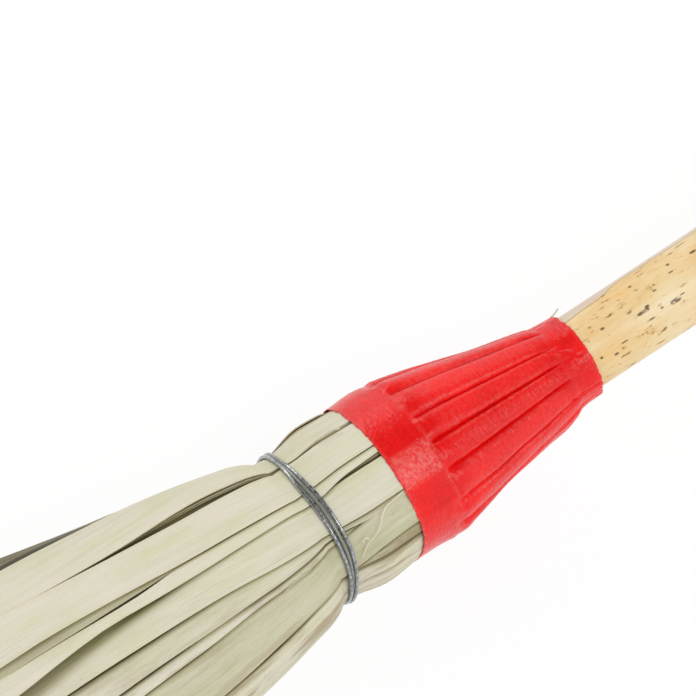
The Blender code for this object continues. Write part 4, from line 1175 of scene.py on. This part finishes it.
for name, bm in fronds.items():
    piece = finish_piece(name.replace("frond", "leaves"), bm, leaf, [name], 45)
    for vert in piece.data.vertices:
        vert.co.z = max(vert.co.z, FLOOR_LIFT)
    uses = [0] * len(piece.data.edges)
    for loop in piece.data.loops:
        uses[loop.edge_index] += 1
    for edge, count in zip(piece.data.edges, uses):
        edge.use_edge_sharp = edge.use_edge_sharp or count == 1
    add_wall(piece, "leaf_thickness", LEAF_THICKNESS)
print("frond pieces:", len(fronds), "strips in each:", sorted(set(strips_in.values())))

# %% [markdown]
# ## Binding wires
# Three turns of galvanised wire pull the leaves in. The middle one lies deeper and duller between the
# other two, which come together at both sides of the neck, and on the back the two ends are twisted
# into a tail that lies along the turns. A wire is best drawn as a curve with a round bevel; it is then
# made a mesh, so that it is finished as every other piece is.


# %% Wire maker
def make_wire(name, points, radius, look, nodes):
    """Make a round wire through points given in millimetres."""
    curve = bpy.data.curves.new(name, "CURVE")
    curve.dimensions = "3D"
    curve.bevel_depth = radius
    curve.bevel_resolution = 3
    curve.use_fill_caps = True
    spline = curve.splines.new("POLY")
    spline.points.add(len(points) - 1)
    for knot, point in zip(spline.points, points):
        knot.co = (*point, 1)
    carrier = bpy.data.objects.new(name, curve)
    bpy.context.scene.collection.objects.link(carrier)
    bpy.context.view_layer.update()
    drawn = bpy.data.meshes.new_from_object(carrier.evaluated_get(bpy.context.evaluated_depsgraph_get()))
    bpy.data.objects.remove(carrier)
    bm = bmesh.new()
    bm.from_mesh(drawn)
    bmesh.ops.remove_doubles(bm, verts=bm.verts, dist=0.001)
    bmesh.ops.recalc_face_normals(bm, faces=bm.faces)
    return finish_piece(name, bm, look, nodes, 60)


# %% The outer wire's measures
WIRE_RADIUS = 0.575
WIRE_START = 294
WIRE_TURNS = 3
WIRE_STEPS = 270
WIRE_SEAT_RADIUS = NECK_RADIUS + 0.15 + WIRE_RADIUS
CLIMB_FROM = 1040
TAIL_HEIGHT = 2.9
TAIL_START = 295
TAIL_DEGREES = 30
TAIL_STEPS = 40
TWISTS = 2.5
TWIST_RADIUS = 0.62
# The wire's run: degrees turned since its start, station, height over the leaves
TURNS = (
    (0, 2.2, 0), (36, 1.8, 0), (66, 1.9, 0.1), (86, 2.1, 0.15), (111, 1.0, 0.2), (126, 1.0, 0.2),
    (150, 1.8, 0.15), (165, 2.4, 0.05), (202, 2.4, 0.05), (220, 1.3, 0.25), (236, -0.1, 0.45),
    (264, -1.15, 0.5), (291, -0.9, 0.3), (326, 0.4, 0), (360, 1.0, 0), (396, 0.5, 0), (426, 0.8, -0.1),
    (446, 1.3, -0.15), (486, 0.3, -0.2), (510, 0.4, -0.18), (525, 0.9, -0.1), (562, 0.85, -0.1),
    (580, 0.1, -0.2), (596, -0.9, -0.3), (624, -1.7, -0.3), (651, -1.9, -0.1), (686, -1.0, 0),
    (720, -0.5, 0), (756, -0.9, 0), (786, -0.3, 0.05), (806, 0.4, 0.15), (831, -0.1, 0.25),
    (846, -0.3, 0.25), (867, -1.2, 0.1), (884, -0.75, 0.05), (921, -0.55, 0.05), (940, -1.0, 0.1),
    (953, -1.75, 0.1), (983, -2.25, 0.1), (1011, -2.4, 0), (1046, -2.2, 0), (1080, -2.0, 0),
)
print("readings of the wire's run:", len(TURNS))

# %% Outer wire
turns = []
for step in range(WIRE_STEPS + 1):
    turned = 360 * WIRE_TURNS * step / WIRE_STEPS
    climb = ease((turned - CLIMB_FROM) / 25)
    radius = WIRE_SEAT_RADIUS + read_soft(TURNS, turned, 8, 2) + climb * 2.0
    station = read_soft(TURNS, turned, 8) + climb * 1.9
    turns.append(ring_point(radius, WIRE_START + turned, station))
tails = []
for side in (1, -1):
    tail = []
    for step in range(TAIL_STEPS + 1):
        share = step / TAIL_STEPS
        phase = 2 * pi * TWISTS * share
        radius = NECK_RADIUS + TAIL_HEIGHT + side * TWIST_RADIUS * sin(phase)
        station = side * TWIST_RADIUS * cos(phase) + 0.2
        tail.append(ring_point(radius, TAIL_START + TAIL_DEGREES * share, station))
    tails.append(tail)
hairpin = [
    ring_point(NECK_RADIUS + 2.75, 292.6, 1.1), ring_point(NECK_RADIUS + 2.0, 291.2, 1.7),
    ring_point(NECK_RADIUS + 1.2, 291.9, 2.3),
]
run = tails[0][::-1] + hairpin + turns + tails[1][1:]
outer_wire = make_wire("outer_wire_turns", run, WIRE_RADIUS, zinc, ["outer_binding_wire"])
dull_marks = outer_wire.data.attributes.new("dull", "FLOAT", "POINT")
for vert, mark in zip(outer_wire.data.vertices, dull_marks.data):
    place = AXIS.inverted() @ vert.co
    turned = (degrees(atan2(place.z, place.y)) - WIRE_START) % 360 + 360
    near = hypot(place.x - read(TURNS, turned), hypot(place.y, place.z) - WIRE_SEAT_RADIUS)
    mark.value = ease(2 - near / WIRE_RADIUS)
print("outer wire:", len(outer_wire.data.polygons), "faces")

# %% [markdown]
# The inner wire and the nails lie hidden under the film. Their CAD shapes are right as they are, so
# they stay and get the metals made above.

# %% Inner wire and nails
HIDDEN = {"inner_binding_wire": zinc, "neck_nail_1": steel, "neck_nail_2": steel}
for name, finish in HIDDEN.items():
    node = frame["nodes"][name]
    node.data.materials.clear()
    node.data.materials.append(finish)
print("hidden metal pieces:", len(HIDDEN))

# %% [markdown]
# ## Film sleeve
# The sleeve is a tube of film: a smooth band over the leaf blades, a step where they end, then a
# rib over each stalk with a groove between, and a collar that grips the cane. The tube is extruded ring
# by ring, each ring's points are pulled onto that shape, and Solidify gives the film its thickness.

# %% The sleeve's measures
FILM_MOUTH = 25
FILM_END = 101
BLADES_END = 40
FILM_WALL = 0.25
RIB_SIDES = 18
# The angles of the grooves between the ribs
GROOVES = (11.25, 34, 57, 85, 107, 129.5, 157, 179, 197, 214, 236.25, 258.75, 281.25, 303.75, 326.25, 348.75)
# The film's outside on a rib's crown and in a groove: station, radius
CROWN = (
    (24, 26.3), (30, 26.3), (37, 26.1), (38.9, 25.95), (39.9, 26.35), (41.5, 26.6), (44, 26.2), (50, 24.85),
    (55, 23.75), (66, 21.25), (72, 19.9), (81, 17.9), (88, 16.3), (91, 15.5), (93, 14.6), (97, 14.25),
    (101.5, 14.1),
)
GROOVE = (
    (24, 26.3), (30, 26.3), (37, 26.1), (38.7, 25.7), (40.5, 25.0), (42.5, 24.4), (50, 22.9), (55, 21.8),
    (66, 19.5), (81, 16.6), (88, 15.3), (92, 14.5), (94, 14.3), (97, 14.25), (101.5, 14.1),
)
# Folds in the film: depth, width and the points (station, angle) that each runs through
CREASES = (
    (0.45, 0.6, ((87, 142), (90, 157), (101, 160))),
    (0.30, 0.5, ((26, 144), (39, 146), (46, 149))),
    (0.25, 0.5, ((36, 99), (38.5, 108), (39, 118), (37, 126))),
    (0.25, 0.5, ((89, 90), (95, 98), (98, 112))),
    (0.30, 0.6, ((28, 230), (36, 236), (41, 250))),
    (0.30, 0.6, ((26, 300), (34, 303), (42, 298))),
    (0.35, 0.6, ((88, 280), (92, 295), (100, 300))),
)
# Places where the film stands further out: height, station, angle, and the reach along and round
BULGES = (
    (0.7, 30, 18, 8, 22), (1.1, 86, 200, 8, 16), (0.4, 33, 113, 7, 14), (-0.3, 33, 91, 6, 8),
    (-0.3, 33, 135, 7, 9), (0.5, 36, 20, 5, 16), (-0.7, 75, 20, 14, 14), (0.9, 38, 203, 5, 18),
    (-0.7, 60, 203, 12, 16),
)
# Runs of rings: from a station to a station, and the step between two rings
FILM_RUNS = ((25.0, 37, 0.6), (37, 43, 0.3), (43, 60, 0.5), (60, 88, 1.2), (88, 101.2, 0.45))
FILM_STATIONS = sorted({round(value, 2) for film_run in FILM_RUNS for value in np.arange(*film_run)})
print("ribs:", len(GROOVES), "rings:", len(FILM_STATIONS))

# %% [markdown]
# The film's radius goes from groove to crown across a rib. On top of that come a slow unevenness, a
# finer pucker where the film steps down and at the collar, the folds, and a few bulges. It is paler at
# both rims, where it was stretched, and paler again as painted highlights beside the grooves, on the
# rib crowns and over the step, and as a painted reflection on one patch at the mouth.


# %% The sleeve's radius and paleness
def groove_place(angle):
    """Tell where an angle lies in its rib: -1 and 1 are the grooves beside it, 0 its crown."""
    turned = angle % 360
    marks = [GROOVES[-1] - 360, *GROOVES, GROOVES[0] + 360]
    for low, high in zip(marks, marks[1:]):
        if low <= turned < high:
            return (turned - (low + high) / 2) / ((high - low) / 2)
    return 0


def crease_depth(station, angle, radius):
    """Give how deep the nearest folds are at a place."""
    depth = 0
    for deepest, width, points in CREASES:
        away = 99
        for (from_s, from_a), (to_s, to_a) in zip(points, points[1:]):
            run = (to_s - from_s, (to_a - from_a) * radians(radius))
            here = (station - from_s, (angle - from_a) * radians(radius))
            share = min(max((here[0] * run[0] + here[1] * run[1]) / (run[0] ** 2 + run[1] ** 2), 0), 1)
            away = min(away, hypot(here[0] - run[0] * share, here[1] - run[1] * share))
        depth += deepest * exp(-(away / width) ** 2)
    return depth


def film_radius(station, angle):
    """Give the film's outside radius."""
    across = groove_place(angle)
    crown, groove = read_soft(CROWN, station, 0.4), read_soft(GROOVE, station, 0.6)
    sharp = 3.0 + 1.8 * ease((station - 44) / 12) - 1.5 * ease((station - 84) / 8)
    rib = 1 - abs(across) ** sharp
    radius = groove + (crown - groove) * rib
    on_ribs = ease((station - BLADES_END) / 4) * ease((91 - station) / 5)
    radius -= 0.25 * exp(-((1 - abs(across)) / 0.12) ** 2) * on_ribs
    spot = Vector((station / 9, cos(radians(angle)) * 3, sin(radians(angle)) * 3))
    radius += 0.26 * noise.noise(spot) * ease((station - FILM_MOUTH) / 6)
    fine = Vector((station / 2.2, cos(radians(angle)) * 11, sin(radians(angle)) * 11))
    pucker = exp(-((station - BLADES_END) / 4) ** 2) + 0.5 * ease((station - 90) / 3)
    radius += 0.18 * noise.noise(fine) * (0.2 + pucker)
    wrinkle = Vector((station / 0.9, cos(radians(angle)) * 5, sin(radians(angle)) * 5))
    radius += 0.06 * noise.noise(wrinkle) * exp(-((station - 47) / 6) ** 2)
    radius -= crease_depth(station, angle, radius)
    for height, at, turn, along, around in BULGES:
        side = (angle - turn + 180) % 360 - 180
        radius += height * exp(-((station - at) / along) ** 2 - (side / around) ** 2)
    return radius


def film_paleness_and_highlights(station, angle):
    """Give how pale the film is at a place: stretched pale at the rims, with painted highlights and a painted
    reflection.
    """
    across = groove_place(angle)
    rims = 0.55 * exp(-(station - FILM_MOUTH) / 0.5) + 0.4 * exp(-(FILM_END - station) / 0.5)
    # Painted highlights beside each groove.
    groove_edge_highlight = (
        0.30 * exp(-((1 - abs(across) - 0.22) / 0.09) ** 2)
        * ease((station - 43) / 5) * ease((88 - station) / 6)
    )
    # A painted reflection of a soft box, on one patch at the mouth.
    painted_reflection = (
        0.55 * ease((station - FILM_MOUTH) / 2) * ease((BLADES_END - station) / 2)
        * ease((angle - 99) / 5) * ease((127 - angle) / 4)
    )
    # A painted highlight on each rib's crown; the last term below is a painted highlight along the step.
    sheen = 0.10 * (1 - across ** 2) * ease((station - 44) / 4) * ease((90 - station) / 4)
    return rims + groove_edge_highlight + painted_reflection + sheen + 0.25 * exp(-((station - 39.6) / 0.5) ** 2)


def ring_angles():
    """Give the angles of a ring's points, closer together beside the grooves."""
    angles = []
    for low, high in zip(GROOVES, [*GROOVES[1:], GROOVES[0] + 360]):
        for step in range(RIB_SIDES):
            even = step / RIB_SIDES * 2 - 1
            drawn = 0.4 * even + 0.6 * sin(even * pi / 2)
            angles.append((low + high) / 2 + (high - low) / 2 * drawn)
    return sorted((angle + 180) % 360 - 180 for angle in angles)


def in_turn(verts):
    """Sort a flat ring's points by their angle."""
    return sorted(verts, key=lambda vert: atan2(vert.co.y, vert.co.x))


print("radius on the step:", round(film_radius(BLADES_END, 0), 2))

# %% Sleeve
bm = bmesh.new()
pale_and_highlight_layer = bm.verts.layers.float.new("pale_and_highlight")
bmesh.ops.create_circle(bm, segments=RIB_SIDES * len(GROOVES), radius=NECK_RADIUS)
rings = [in_turn(bm.verts)]
edges = list(bm.edges)
for _ in FILM_STATIONS[1:]:
    grown = bmesh.ops.extrude_edge_only(bm, edges=edges)["geom"]
    rings.append(in_turn([item for item in grown if isinstance(item, bmesh.types.BMVert)]))
    edges = [item for item in grown if isinstance(item, bmesh.types.BMEdge)]
for station, ring in zip(FILM_STATIONS, rings):
    for vert, angle in zip(ring, ring_angles()):
        angle %= 360
        lip = noise.noise(Vector((cos(radians(angle)) * 9, sin(radians(angle)) * 9, 5))) * 0.5
        lip += noise.noise(Vector((cos(radians(angle)) * 40, sin(radians(angle)) * 40, 5))) * 0.25
        place = station + lip * (exp(-(station - FILM_MOUTH) / 1.5) + exp(-(FILM_END - station) / 2.5))
        place -= 3.2 * exp(-((angle - 208) / 25) ** 2) * ease((35 - station) / 10)
        vert[pale_and_highlight_layer] = film_paleness_and_highlights(station, angle)
        vert.co = (place, *shifted(film_radius(station, angle), angle, station))
bmesh.ops.recalc_face_normals(bm, faces=bm.faces)
sleeve = finish_piece("film_sleeve", bm, film, ["shrink_sleeve"], 70)
add_wall(sleeve, "film_wall", FILM_WALL)
print("sleeve:", len(sleeve.data.polygons), "faces")

# %% The scene brought up to date
bpy.context.view_layer.update()
